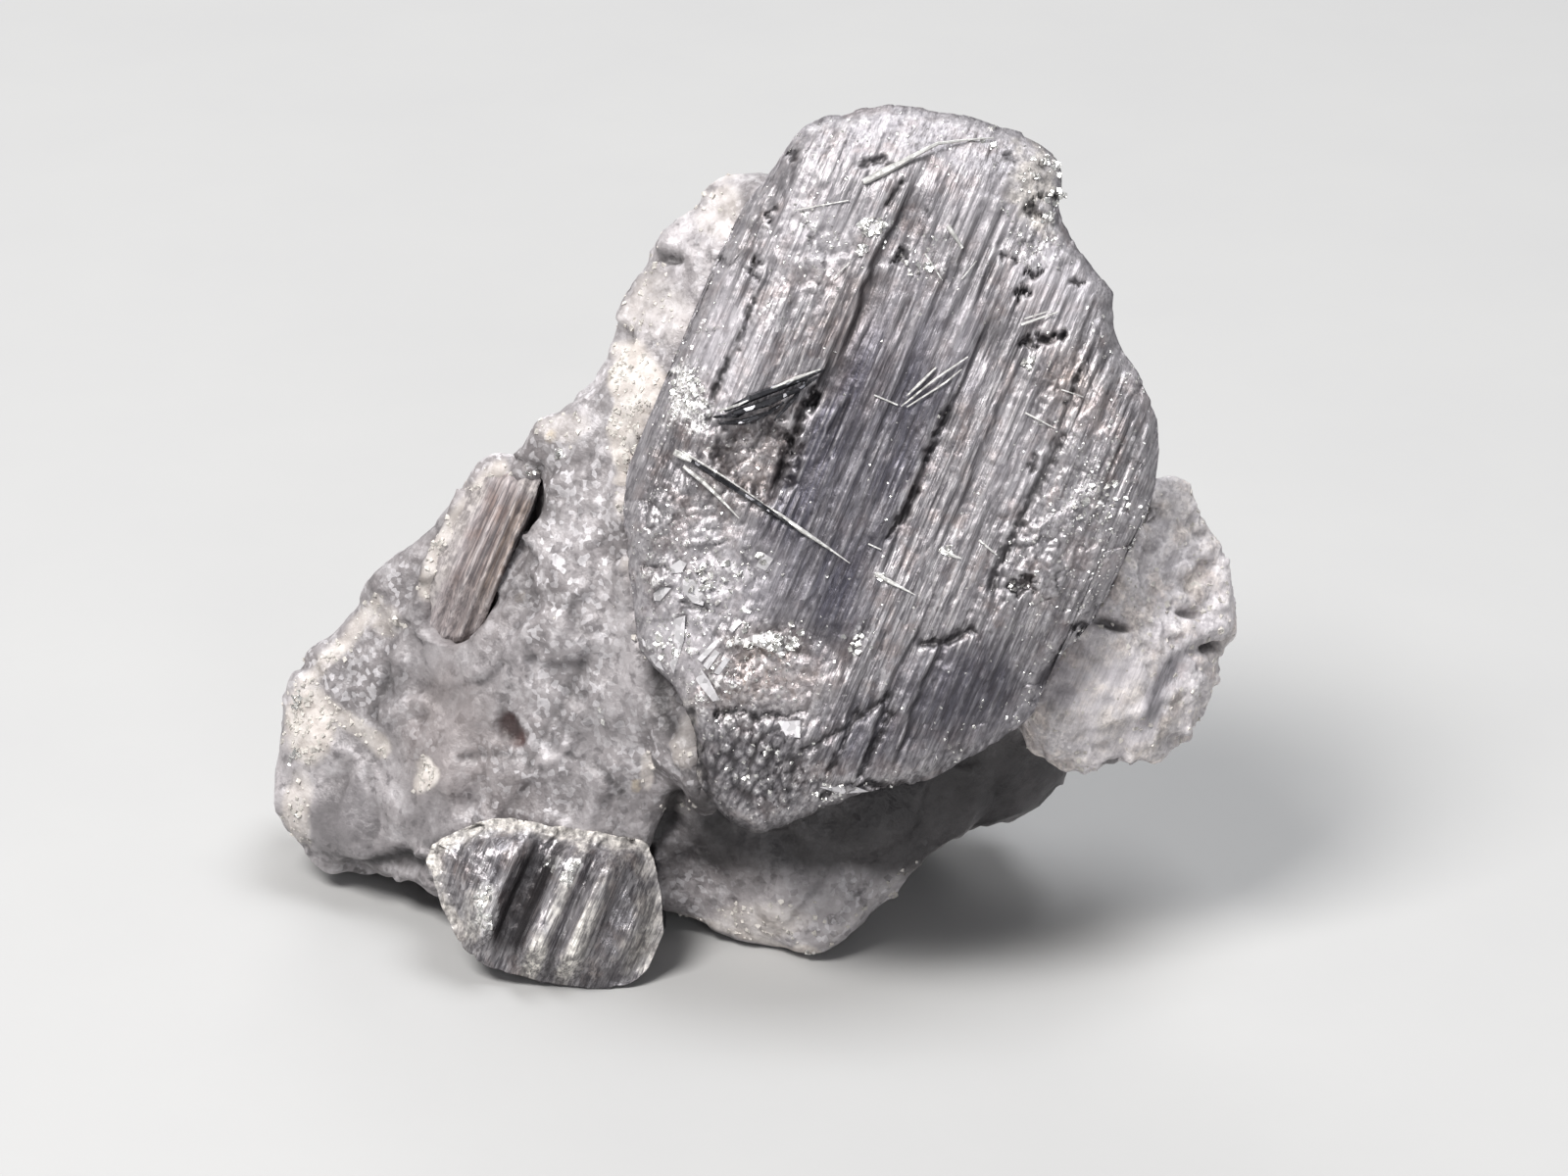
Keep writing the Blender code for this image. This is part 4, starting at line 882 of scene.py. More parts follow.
ROCK_GLINTS = (
    (-10.0, 0.15, 0.28, 0.2, 1.0), (-9.15, 0.6, 0.22, 0.2, 1.0), (-11.8, -1.3, 0.18, 0.18, 1.0),
    (-16.9, -6.4, 0.3, 0.35, 0.8), (-17.0, -8.2, 0.25, 0.4, 0.6), (-17.0, -9.7, 0.25, 0.3, 0.5),
    (-2.2, -13.5, 0.2, 0.2, 1.0), (-8.1, -6.9, 0.5, 0.5, 0.25),
)
PITS = (
    (-10.7, -7.2, 0.42, 0.45, 1.0), (-9.4, -7.6, 0.25, 0.3, 0.7), (-8.6, -6.2, 0.2, 0.2, 0.6),
    (-13.3, -6.8, 0.3, 0.2, 0.6), (-6.15, 6.05, 0.42, 0.22, 1.0), (-7.3, 3.8, 0.2, 0.32, 0.5),
    (-8.1, 3.0, 0.2, 0.2, 0.4), (-11.9, -9.1, 0.35, 0.2, 0.6), (-14.3, -6.0, 0.2, 0.45, 0.4),
    (-9.9, -5.2, 0.2, 0.25, 0.5), (-4.4, -12.1, 0.2, 0.2, 0.4),
)
RED_PITS = ((-10.75, -7.05, 0.34, 0.42, 1.0), (-10.45, -7.4, 0.30, 0.34, 1.0), (-4.35, -8.9, 0.2, 0.1, 0.3))
# The crevices are cut into the rock and painted dark as shade.
CREVICES = (  # narrow dark gaps in the rock: their runs, half-width and depth
    (((-6.05, -9.1), (-6.1, -9.8), (-6.5, -10.5), (-6.35, -11.4), (-6.2, -12.4)), 0.20, 0.5),
    (((-15.6, -11.3), (-14.0, -11.0), (-12.9, -11.2)), 0.20, 0.3),
    (((-6.95, -5.2), (-6.55, -6.2), (-6.2, -7.2)), 0.24, 0.24),
    (((-14.9, -8.2), (-14.6, -9.6), (-14.8, -10.8)), 0.12, 0.07),
    (((-9.0, -7.9), (-7.9, -8.3), (-7.4, -9.0)), 0.08, 0.18), (((-1.6, -10.9), (-3.0, -12.9)), 0.05, 0.1),
    (((-0.4, -10.9), (-1.4, -12.6)), 0.05, 0.1), (((-12.04, -7.98), (-11.04, -7.82), (-10.19, -7.92)), 0.10, 0.14),
    (((-8.61, -5.40), (-9.35, -6.66), (-10.09, -8.14)), 0.10, 0.14),
    (((-14.30, -5.40), (-14.72, -6.98)), 0.10, 0.14), (((-10.61, -5.93), (-10.93, -6.66)), 0.10, 0.12),
)
GRANULAR = ((-8.9, -3.4, 1.6, 4.2, 1.0), (-10.4, -8.0, 2.0, 1.8, 0.8), (-6.8, 4.0, 1.5, 2.5, 0.6))
# The notches are holes; their dark is painted shade.
NOTCHES = ((9.1, -4.9, 0.5, 0.2, 1.0), (8.3, -3.9, 0.4, 0.15, 0.6), (6.25, -4.3, 0.5, 0.2, 0.9))
UNDER_NOTCHES = ((6.35, -8.2, 0.5, 0.15, 0.8), (7.05, -8.15, 0.3, 0.12, 0.6), (5.3, -7.8, 0.2, 0.12, 0.4))


def blade_corners(run):
    """Corners (u, v) of an outline given along and across the striae about the blade's middle."""
    return [tuple(np.add(face_place(along, across), BLADE_PLACE[:2])) for along, across in run]


CLOSE_OUTLINES = (  # crystals that the rock grows up against: outline, lowest and highest w of the contact
    (plain_outline(SLAB_OUTLINE), -5.6, 0.0), (plain_outline(FLUTED_OUTLINE), -9.0, -3.0),
    (plain_outline(blade_corners(BLADE_BED)), -7.0, -5.6),
)
BOX_MARGIN = 0.02


def closing_swell(u, v, w):
    """How far the rock swells beside the crystals, so that it grows right up to them."""
    swell = np.zeros(np.shape(u))
    for outline, low, high in CLOSE_OUTLINES[:2]:
        near = fading(rim_distance(u, v, outline), 0.30, 0.75)
        swell = np.maximum(swell, near * smooth(w, low, low + 0.4) * fading(w, high, high + 0.4))
    shelf = smooth(w, -6.3, -5.8) * fading(w, -5.2, -4.9)
    swell = np.maximum(swell, shelf * fading(np.hypot(u / 8.2, v / 10.8), 0.95, 1.05))
    return 0.30 * swell


def grown_up_to(u, v, w):
    """How far the rock's places move towards the crystals that stand in it, so that no gap is left."""
    move_u, move_v = np.zeros(len(u)), np.zeros(len(u))
    for outline, low, high in CLOSE_OUTLINES:
        depth = smooth(w, low - 0.6, low) * fading(w, high, high + 0.6)
        close = np.flatnonzero(depth > 0)
        gap_u = outline[None, :, 0] - u[close, None]
        gap_v = outline[None, :, 1] - v[close, None]
        nearest = np.argmin(np.hypot(gap_u, gap_v), 1)
        row = np.arange(len(close))
        gap_u, gap_v = gap_u[row, nearest], gap_v[row, nearest]
        distance = np.maximum(1e-6, np.hypot(gap_u, gap_v))
        reach = np.minimum(distance, 0.36) * fading(distance, 0.40, 1.0)
        reach = np.where(inside(u[close], v[close], outline), 0, reach)
        move_u[close] += gap_u / distance * reach * depth[close]
        move_v[close] += gap_v / distance * reach * depth[close]
    return np.outer(move_u, U_WAY) + np.outer(move_v, V_WAY)


def settle_rock(rock, places, rounds, finishes):
    """Gives a rock its evened places, held in the box, and its finishes."""
    places = kept_in_box(evened(rock.data, places, 0.5, rounds), BOX_MARGIN)
    rock.data.vertices.foreach_set("co", places.astype(np.float32).ravel())
    rock.data.update()
    paint(rock.data, finishes)
    return rock


def matrix_rock():
    """The matrix: granular and crusted, chipped into small facets, with the seam and the plate."""
    rock = rock_skin("matrix", "matrix_rock", cell=0.15, passes=4, lumps=BACK_FILLS + BLADE_CREEP)
    places, ways = mesh_arrays(rock.data)
    own, (u, v, w) = places / MM, own_place(places)
    facing = ways @ W_WAY
    front = smooth(facing, -0.1, 0.4)
    wander = 0.35 * layered(own * 0.8, 3, 201)
    wu, wv = u + wander, v + wander * 0.8
    cream = spots(wu, wv, CREAM) * front
    grey = spots(wu, wv, GREY_PATCHES) * front
    brown = spots(wu, wv, BROWN_PATCHES) * front
    for run, width, strength in LIGHT_EDGES:
        line = fading(line_distance(wu - 0.5 * wander, wv - 0.5 * wander, run), 0.3 * width, 1.6 * width)
        cream = np.maximum(cream, strength * line * front)
    edge = rim_distance(u, v, CLOSE_OUTLINES[0][0])
    beside = fading(edge + 0.2 * wander, 0.12, 0.45) * fading(u, -6.4, -5.9) * front
    seam = beside * smooth(v, -7.6, -5.5) * fading(v, 2.6, 4.2) * smooth(w, -4.8, -4.0)
    cream = np.maximum(cream, 1.1 * seam)
    yellow = spots(u + wander * 0.6, v + wander * 1.5, YELLOW_SPOTS) * front * (0.7 + 0.6 * layered(own * 2.2, 2, 235))
    yellow = np.maximum(yellow, 0.55 * seam * smooth(layered(own * 1.1, 2, 237), -0.1, 0.3) * fading(v, 0.5, 2.0))
    pits = spots(u + wander * 0.4, v - wander * 0.4, PITS) * front
    red = spots(u + 0.2 * wander, v, RED_PITS) * front
    gap = np.zeros(len(u))
    # gap paints shade in the crevices
    for run, width, depth in CREVICES:
        distance = np.maximum(0, line_distance(wu - 0.6 * wander, wv - 0.5 * wander, run) + 0.3 * wander)
        gap = np.maximum(gap, np.exp(-((distance / width) ** 2)) * depth * front)
    back = 1 - front
    grey = np.maximum(grey, back * smooth(layered(own * 0.35, 2, 211), 0.05, 0.5))
    cream = np.maximum(cream, back * 0.6 * smooth(layered(own * 0.3, 3, 213), 0.15, 0.5))

    chunks = chipped(own / 2.1 + wander[:, None] * 0.8, 221)
    chips = chipped(own / 0.80 + wander[:, None] * 0.6, 223)
    crumbs = crumbly(own / 0.42 + wander[:, None] * 0.5, 225)
    grit = layered(own * 3.6, 3, 227)
    swells = layered(own * 0.62, 3, 231)
    along, across = striae_place(u, v)
    ribbed = fading(u, -9.8, -8.6) * smooth(v, -9.5, -7.5) * front
    ribs = drift(at(across / 0.62 + wander, along * 0.13, w * 0.3), 233)
    granular = smooth(layered(own * 0.45, 2, 229) + 0.5 * spots(wu, wv, GRANULAR), -0.15, 0.45)
    plate = smooth(u, -6.4, -5.6) * fading(v, -9.5, -8.5) * front
    calm = (1 - 0.45 * grey) * (1 - 0.55 * plate)
    broken = 0.20 * chunks + 0.08 * chips * (0.4 + 0.6 * granular) + 0.20 * swells
    broken = broken + 0.055 * crumbs * (0.2 + 0.8 * granular)
    ridged = drift(at((u + 0.55 * v) / 0.9, (v - 0.55 * u) * 0.22), 239)
    height = 0.08 + (broken + 0.09 * ribs * ribbed) * calm + 0.035 * grit + 0.12 * ridged * plate
    height = height - 0.35 * np.maximum(pits, red) + closing_swell(u, v, w) - gap
    # a painted shadow on the plate under the big crystal
    plate_shadow = smooth(u, -6.5, -5.0) * smooth(v + wander, -11.8, -10.8) * fading(v, -8.0, -6.0) * front
    held = smooth(own[:, 2], 0.02, 0.45)
    lower = np.minimum(height, 0.50) * held
    places = places + ways * (lower * MM)[:, None] + grown_up_to(u, v, w) * (held * MM)[:, None]
    # painted shade in the crevices and the middles of the pits, and the painted shadow on the plate
    gaps = strongest(gap * 4, 0.6 * pits ** 2, plate_shadow * (0.95 + 0.4 * swells))
    return settle_rock(rock, places, 1, {
        "rough": np.clip(0.25 + 0.75 * granular - 0.7 * grey, 0, 1), "crust": cream,
        "dark": np.clip(grey * 0.8 + pits, 0, 1),
        "brown": np.clip(brown + 0.25 * ribbed * smooth(ribs, 0.0, 0.5), 0, 1),
        # hollow is painted shade in the low places of the broken rock
        "yellow": yellow, "red": red, "hollow": np.clip(-(broken - 0.02) * 3.5, 0, 1), "gap": np.clip(gaps, 0, 1),
        "glint": spots(u, v, ROCK_GLINTS) * front,
    })


def side_rock():
    """The side crystal: crusted, with a smooth striated flute down its middle."""
    rock = rock_skin("side_crystal", "side_crystal_skin", cell=0.085, passes=5)
    places, ways = mesh_arrays(rock.data)
    own, (u, v, w) = places / MM, own_place(places)
    along, across = striae_place(u, v)
    facing = smooth(ways @ W_WAY, 0.0, 0.5)
    wander = 0.3 * layered(own * 0.9, 3, 301)
    bent = across + wander * 0.25
    lower = fading(v, -4.6, -3.4)
    flute = fading(np.abs(bent + 0.5 * wander - 9.35), 0.02, 0.36) * smooth(along, -4.4, -3.0)
    flute = flute * fading(along, -1.9, -0.7) * facing
    # the valley beside the big crystal is painted paler: painted light where its shadow falls
    valley = oval(u + wander * 0.5, v, 6.1, -6.3, 1.4, 1.7) * facing
    chips = chipped(own / 0.55 + wander[:, None] * 0.5, 321)
    crumbs = crumbly(own / 0.26, 325)
    lumps = chipped(own / 1.15 + wander[:, None] * 0.7, 331)
    broken = 0.06 + 0.13 * chips + 0.035 * crumbs + 0.19 * lumps + 0.10 * layered(own * 1.3, 3, 327)
    striae = striae_relief(along, across + 5.0) * 1.2 + 0.06
    ribs = 0.10 * drift(at(bent / 0.55, along * 0.15, 9.0), 329) * lower * facing
    calm = np.clip(np.maximum(flute, valley * 0.55), 0, 1)
    height = broken * (1 - calm) + striae * calm - 0.14 * flute + ribs
    notch_u, notch_v = u + wander * 0.5, v - wander * 0.5
    # painted shade in the notches
    notch = spots(notch_u, notch_v, NOTCHES) * facing
    notch = np.maximum(notch, spots(notch_u, notch_v, UNDER_NOTCHES) * smooth(ways @ W_WAY, -0.7, -0.1))
    height = height - 0.4 * notch
    places = places + (ways * np.minimum(height, 0.3)[:, None] + grown_up_to(u, v, w)) * MM
    return settle_rock(rock, places, 2, {
        "rough": 0.8 * (1 - calm), "crust": np.clip(0.5 + 0.5 * wander - flute, 0, 1),
        "dark": np.clip(notch + 0.55 * flute, 0, 1), "frost": 0.25 * (1 - calm), "band": 0.6 * flute,
        # hollow paints shade in the low places and proud a highlight on the high ones
        "hollow": np.clip(0.1 - (broken - 0.06) * 5, 0, 1) * (1 - 0.7 * calm),
        "proud": np.clip((broken - 0.06) * 5, 0, 1) * (1 - 0.5 * calm), "pale": 0.5 + 0.4 * valley,
    })


# ---------------------------------------------------------------- needles, laths and grains on the face

NEEDLES = (  # loose needles and fibres: their runs on the face, each point's width, and how proud they lie
    (((-3.60, -0.86, 0.04), (-3.10, -1.18, 0.13), (-2.34, -1.70, 0.12), (-1.76, -2.08, 0.07), (-1.14, -2.52, 0.02)),
     0.22),
    (((-5.70, 0.52, 0.07), (-4.6, -0.14, 0.05), (-3.50, -0.88, 0.03)), 0.25),
    (((-5.92, 0.52, 0.16), (-5.65, 0.38, 0.20), (-5.45, 0.26, 0.08)), 0.24),
    (((-5.67, 0.12, 0.10), (-5.16, -0.28, 0.12), (-4.6, -0.82, 0.08), (-4.15, -1.30, 0.03)), 0.12),
    (((-0.78, 7.84, 0.16), (-0.30, 8.08, 0.22), (0.30, 8.40, 0.16), (1.25, 8.91, 0.10), (2.18, 9.04, 0.06),
      (2.79, 9.10, 0.03)), 0.09),
    (((-3.25, 2.23, 0.05), (-2.6, 2.50, 0.10), (-1.94, 2.74, 0.04)), 0.34),
    (((-4.75, 1.62, 0.05), (-4.3, 1.72, 0.09), (-3.9, 1.9, 0.04)), 0.30),
    (((-2.66, 7.08, 0.03), (-1.17, 7.34, 0.04)), 0.05),
    (((3.51, 3.96, 0.08), (4.52, 4.31, 0.05)), 0.08), (((3.6, 4.12, 0.04), (4.35, 4.36, 0.03)), 0.08),
    (((1.52, 6.65, 0.14), (1.92, 6.04, 0.08)), 0.06),
    (((0.40, 2.02, 0.04), (0.75, 2.35, 0.10), (1.20, 2.80, 0.05)), 0.08),
    (((0.25, 1.74, 0.04), (1.2, 2.5, 0.07), (2.07, 3.09, 0.04)), 0.10),
    (((0.40, 1.72, 0.04), (1.4, 2.35, 0.06), (1.9, 2.75, 0.03)), 0.08),
    (((-0.48, 2.05, 0.04), (0.16, 1.78, 0.05)), 0.05), (((3.62, 1.57, 0.06), (4.44, 1.14, 0.03)), 0.06),
    (((2.37, -1.89, 0.07), (2.85, -2.29, 0.04)), 0.07),
    (((1.33, -2.13, 0.04), (1.6, -2.3, 0.12), (1.89, -2.39, 0.04)), 0.06),
    (((-0.48, -2.79, 0.05), (-0.13, -2.98, 0.13), (0.64, -3.38, 0.02)), 0.07),
    (((-0.64, -1.99, 0.05), (-0.29, -2.15, 0.04)), 0.06),
    (((4.6, 2.2, 0.04), (5.2, 2.0, 0.03)), 0.06), (((-1.6, 5.2, 0.05), (-1.1, 5.7, 0.03)), 0.06),
    (((0.9, 5.9, 0.05), (1.35, 5.2, 0.04)), 0.06), (((1.9, 5.2, 0.04), (2.3, 5.7, 0.03)), 0.06),
)
BLACK_LATHS = (  # the glossy black bundle across the broken hollow
    (((-4.55, 1.62, 0.10), (-3.7, 2.02, 0.22), (-2.6, 2.42, 0.16), (-1.84, 2.74, 0.06)), 0.16),
    (((-4.30, 1.55, 0.14), (-3.4, 1.82, 0.20), (-2.5, 2.22, 0.12), (-2.0, 2.55, 0.05)), 0.24),
    (((-4.70, 1.28, 0.08), (-3.99, 1.33, 0.18), (-3.4, 1.55, 0.14), (-2.93, 1.85, 0.06)), 0.12),
    (((-4.85, 1.45, 0.06), (-4.2, 1.50, 0.14), (-3.6, 1.85, 0.05)), 0.14),
    (((-3.2, 1.35, 0.05), (-2.7, 1.9, 0.12), (-2.3, 2.5, 0.05)), 0.12),
    (((-5.62, 0.40, 0.10), (-4.65, -0.24, 0.16), (-3.29, -1.11, 0.12), (-2.4, -1.72, 0.03)), 0.17),
)
GLINTS = (  # clusters of bright cleavage flakes: centre (u, v), radius and number
    (-0.55, 6.65, 0.34, 34), (-0.80, 6.02, 0.20, 16), (1.5, -2.2, 0.16, 8), (-0.3, -2.85, 0.14, 8),
    (3.35, -3.1, 0.22, 8), (-3.41, -4.68, 0.10, 6), (-3.33, -4.41, 0.07, 4), (-3.05, -4.57, 0.15, 9),
    (-2.65, -4.66, 0.11, 6), (-3.85, -4.72, 0.12, 4), (-3.3, -4.5, 0.9, 14), (-3.62, -2.40, 0.22, 8),
    (-5.0, -3.0, 0.22, 6), (-4.9, -3.0, 0.9, 18), (-5.6, 2.2, 0.5, 14), (4.3, 6.9, 0.3, 8), (0.6, 5.6, 0.5, 10),
    (-1.0, -4.7, 0.5, 10), (-5.9, -4.7, 0.7, 14), (3.9, 2.9, 0.4, 8), (4.2, 8.3, 0.5, 22), (4.5, 7.5, 0.3, 12),
    (2.8, 9.1, 0.5, 8), (-3.4, -8.3, 1.0, 10), (-1.7, -8.7, 0.4, 6), (5.6, -0.8, 0.9, 16),
)

ROD_STEP = 0.18
ROD_SECTION = ((0, 1.0), (55, 0.9), (125, 0.9), (180, 1.0), (235, 0.9), (305, 0.9))  # each corner's bearing and reach
PLATE_RAISE, PLATE_THICK = 0.035, 0.2
GLINT_LEAN = np.array((-0.25, 0.0, 0.45))  # how the bright flakes turn towards the light


def rod(points, lift, height_at):
    """Corners and faces of one thin, six-sided needle with pointed ends."""
    points = np.array(points)
    line, width = points[:, :2], points[:, 2]
    count = max(4, int(np.linalg.norm(np.diff(line, axis=0), axis=1).sum() / ROD_STEP))
    gone = np.concatenate([[0], np.cumsum(np.linalg.norm(np.diff(line, axis=0), axis=1))])
    steps = np.linspace(0, gone[-1], count)
    u, v = np.interp(steps, gone, line[:, 0]), np.interp(steps, gone, line[:, 1])
    size = np.interp(steps, gone, width) * 0.5
    ground = height_at(u, v)
    ends = ground[:2].mean(), ground.max() * 0.5 + ground.mean() * 0.5, ground[-2:].mean()
    w = np.interp(steps, (0, steps[-1] / 2, steps[-1]), ends) + lift
    way = np.stack([np.gradient(u), np.gradient(v)], 1)
    way /= np.linalg.norm(way, axis=1)[:, None]
    corners = []
    for turn, reach in ROD_SECTION:
        angle = math.radians(turn)
        side, up = math.cos(angle) * reach * size, math.sin(angle) * reach * size
        corners.append(placed(u - way[:, 1] * side, v + way[:, 0] * side, w + up))
    rings = np.stack(corners, 1)
    verts = rings.reshape(-1, 3).tolist()
    faces = [tuple(range(6)), tuple(range((count - 1) * 6 + 5, (count - 1) * 6 - 1, -1))]
    for i in range(count - 1):
        for k in range(6):
            n = (k + 1) % 6
            faces.append((i * 6 + k, (i + 1) * 6 + k, (i + 1) * 6 + n, i * 6 + n))
    return verts, faces


def joined(name, parts):
    """One mesh object from many small closed bodies with flat faces."""
    verts, faces = [], []
    for part_verts, part_faces in parts:
        first = len(verts)
        verts.extend(part_verts)
        faces.extend(tuple(first + i for i in face) for face in part_faces)
    obj = new_mesh(name, verts, faces, {})
    obj.data.shade_flat()
    return obj


def face_height():
    """A function that gives the height of the big crystal's front at places on it."""
    outline = rounded_outline(SLAB_OUTLINE, OUTLINE_STEP, SLAB_JAG, SLAB_SEED)
    return lambda u, v: face_form(u, v, rim_distance(u, v, outline))[0]


CHIP = np.array([(x, y, z) for x in (-1, 1) for y in (-1, 1) for z in (-1, 1)], float)
CHIP_FACES = ((0, 1, 3, 2), (4, 6, 7, 5), (0, 4, 5, 1), (2, 3, 7, 6), (0, 2, 6, 4), (1, 5, 7, 3))


def chip_parts(rng, places, ways, sizes, flatness):
    """Small broken chips bedded in a surface at some places."""
    parts = []
    for place, way, size in zip(places, ways, sizes):
        corners = CHIP * (1 + rng.uniform(-0.45, 0.25, (8, 3)))
        corners[:, 2] *= flatness
        turn, _ = np.linalg.qr(rng.normal(size=(3, 3)))
        lean = way + 0.35 * rng.normal(size=3)
        lean /= np.linalg.norm(lean)
        side = np.cross(lean, turn[0])
        side /= np.linalg.norm(side)
        basis = np.stack([side, np.cross(lean, side), lean])
        parts.append(((place + corners @ basis * size * 0.5 * MM).tolist(), CHIP_FACES))
    return parts


def scattered(name, obj, rng, count, weights, low, high, flatness):
    """Chips strewn over an object's surface, thickest where its weights are high."""
    places, ways = mesh_arrays(obj.data)
    weights = np.clip(weights, 0, None)
    chosen = rng.choice(len(places), count, p=weights / weights.sum())
    sizes = rng.uniform(low, high, count) * rng.uniform(0.6, 1.0, count)
    bed = places[chosen] - ways[chosen] * (sizes * 0.12 * MM)[:, None]
    return joined(name, chip_parts(rng, bed, ways[chosen], sizes, flatness))


def glint_flakes(rng, height_at):
    """The small bright cleavage flakes that lie in clusters on the big crystal's face."""
    places, sizes = [], []
    for centre_u, centre_v, radius, count in GLINTS:
        turn, reach = rng.uniform(0, 2 * math.pi, count), radius * np.sqrt(rng.uniform(0, 1, count))
        u, v = centre_u + reach * np.cos(turn), centre_v + 0.7 * reach * np.sin(turn)
        places.append(placed(u, v, height_at(u, v) + 0.01))
        sizes.append(rng.uniform(0.09, 0.20, count))
    places, sizes = np.concatenate(places), np.concatenate(sizes)
    way = W_WAY + GLINT_LEAN
    way = np.tile(way / np.linalg.norm(way), (len(places), 1))
    return joined("face_glints", chip_parts(rng, places, way, sizes, flatness=0.25))


def bedded_plates(rng, height_at):
    """Thin angular plates that follow the broken face's general lie and lean a little out of it."""
    parts = []
    for corners in PLATES:
        u, v = np.array(corners).T
        count, ground = len(corners), height_at(u, v)
        lie = np.linalg.lstsq(np.stack([np.ones(count), u - u.mean(), v - v.mean()], 1), ground, rcond=None)[0]
        lie[1:] += rng.uniform(-0.10, 0.10, 2)
        top = lie[0] + PLATE_RAISE + lie[1] * (u - u.mean()) + lie[2] * (v - v.mean())
        ring = [tuple(range(count)), tuple(range(2 * count - 1, count - 1, -1))]
        ring += [(i, i + count, (i + 1) % count + count, (i + 1) % count) for i in range(count)]
        places = np.concatenate([placed(u, v, top), placed(u, v, top - PLATE_THICK)])
        parts.append((places.tolist(), ring))
    return joined("face_plates", parts)


def finish_values(obj, key):
    """The values of one of an object's finishes."""
    values = np.empty(len(obj.data.vertices), np.float32)
    obj.data.attributes[key].data.foreach_get("value", values)
    return values.astype(float)


# ---------------------------------------------------------------- finishes


class Value:
    """What a node gives out; sums, differences and products of values add the nodes that work them out."""

    def __init__(self, socket):
        self.socket = socket
        self.tree = socket.id_data

    def maths(self, operation, first, second):
        """What an operation on two values gives."""
        made = self.tree.nodes.new("ShaderNodeMath")
        made.operation = operation
        feed(made.inputs[0], first)
        feed(made.inputs[1], second)
        return Value(made.outputs[0])

    def __add__(self, other):
        return self.maths("ADD", self, other)

    def __radd__(self, other):
        return self.maths("ADD", other, self)

    def __sub__(self, other):
        return self.maths("SUBTRACT", self, other)

    def __rsub__(self, other):
        return self.maths("SUBTRACT", other, self)

    def __mul__(self, other):
        return self.maths("MULTIPLY", self, other)

    def or_higher(self, other):
        """The higher of this value and another."""
        return self.maths("MAXIMUM", self, other)


def feed(socket, value):
    """Links a value to a node's input, or sets a fixed number, colour or vector there."""
    if isinstance(value, Value):
        value.tree.links.new(value.socket, socket)
    else:
        socket.default_value = (*value, 1) if socket.type == "RGBA" else value


def fill(sockets, **values):
    """Feeds inputs by name; an underscore in a name stands for a space."""
    for key, value in values.items():
        feed(sockets[key.replace("_", " ")], value)


def add(tree, kind, settings=None, **values):
    """The outputs, by name, of a new node with these settings and input values."""
    made = tree.nodes.new(kind)
    for key, value in (settings or {}).items():
        setattr(made, key, value)
    fill(made.inputs, **values)
    return {socket.name: Value(socket) for socket in made.outputs}


def vector_maths(tree, operation, *values, **named):
    """What an operation on vectors gives."""
    made = tree.nodes.new("ShaderNodeVectorMath")
    made.operation = operation
    for socket, value in zip(made.inputs, values):
        feed(socket, value)
    fill(made.inputs, **named)
    return Value(made.outputs["Value" if operation == "DOT_PRODUCT" else "Vector"])


def noise(tree, place, scale, detail, roughness):
    """Cloudy unevenness from 0 to 1."""
    return add(tree, "ShaderNodeTexNoise", Vector=place, Scale=scale, Detail=detail, Roughness=roughness)["Fac"]


def channel(tree, colour, name):
    """One channel of a colour, used as a random share."""
    return add(tree, "ShaderNodeSeparateColor", Color=colour)[name]


def blended(share, first, second, mode="MIX", kind="Color"):
    """A colour or vector between two, by a share."""
    made = share.tree.nodes.new("ShaderNodeMix")
    made.data_type = "RGBA" if kind == "Color" else "VECTOR"
    made.blend_type = mode
    sockets = {socket.identifier: socket for socket in (*made.inputs, *made.outputs)}
    feed(sockets["Factor_Float"], share)
    feed(sockets["A_" + kind], first)
    feed(sockets["B_" + kind], second)
    return Value(sockets["Result_" + kind])


def laid_over(base, *layers):
    """A colour under layers of others, each with its share."""
    for share, colour in layers:
        base = blended(share, base, colour)
    return base


def stepped(value, low, high):
    """0 below low, 1 above high, and a smooth step in between."""
    settings = {"interpolation_type": "SMOOTHSTEP"}
    return add(value.tree, "ShaderNodeMapRange", settings, Value=value, From_Min=low, From_Max=high)["Result"]


def group_tree(name, inputs, outputs):
    """A new node group with named sockets, what comes into it and the sockets of its end."""
    tree = bpy.data.node_groups.new(name, "ShaderNodeTree")
    for side, labels in (("INPUT", inputs), ("OUTPUT", outputs)):
        for label in labels:
            kind = "NodeSocketVector" if label in ("Position", "Normal") else "NodeSocketFloat"
            socket = tree.interface.new_socket(label, in_out=side, socket_type=kind)
            if side == "INPUT" and inputs[label] is not None:
                socket.default_value = inputs[label]
    return tree, add(tree, "NodeGroupInput"), tree.nodes.new("NodeGroupOutput").inputs


def sparkle_group():
    """Tiny cleavage faces that lean at random: a normal, and a share for each face."""
    tree, given, end = group_tree(
        "cleavage sparkle", {"Position": None, "Faces per metre": 8000.0, "Lean": 0.6}, ("Normal", "Share"))
    cells = add(tree, "ShaderNodeTexVoronoi", {"feature": "F1"}, Vector=given["Position"],
                Scale=given["Faces per metre"], Randomness=1.0)["Color"]
    lean = vector_maths(tree, "SCALE", vector_maths(tree, "SUBTRACT", cells, (0.5, 0.5, 0.5)), Scale=given["Lean"])
    turned = vector_maths(tree, "ADD", add(tree, "ShaderNodeNewGeometry")["Normal"], lean)
    fill(end, Normal=vector_maths(tree, "NORMALIZE", turned), Share=channel(tree, cells, "Red"))
    return tree


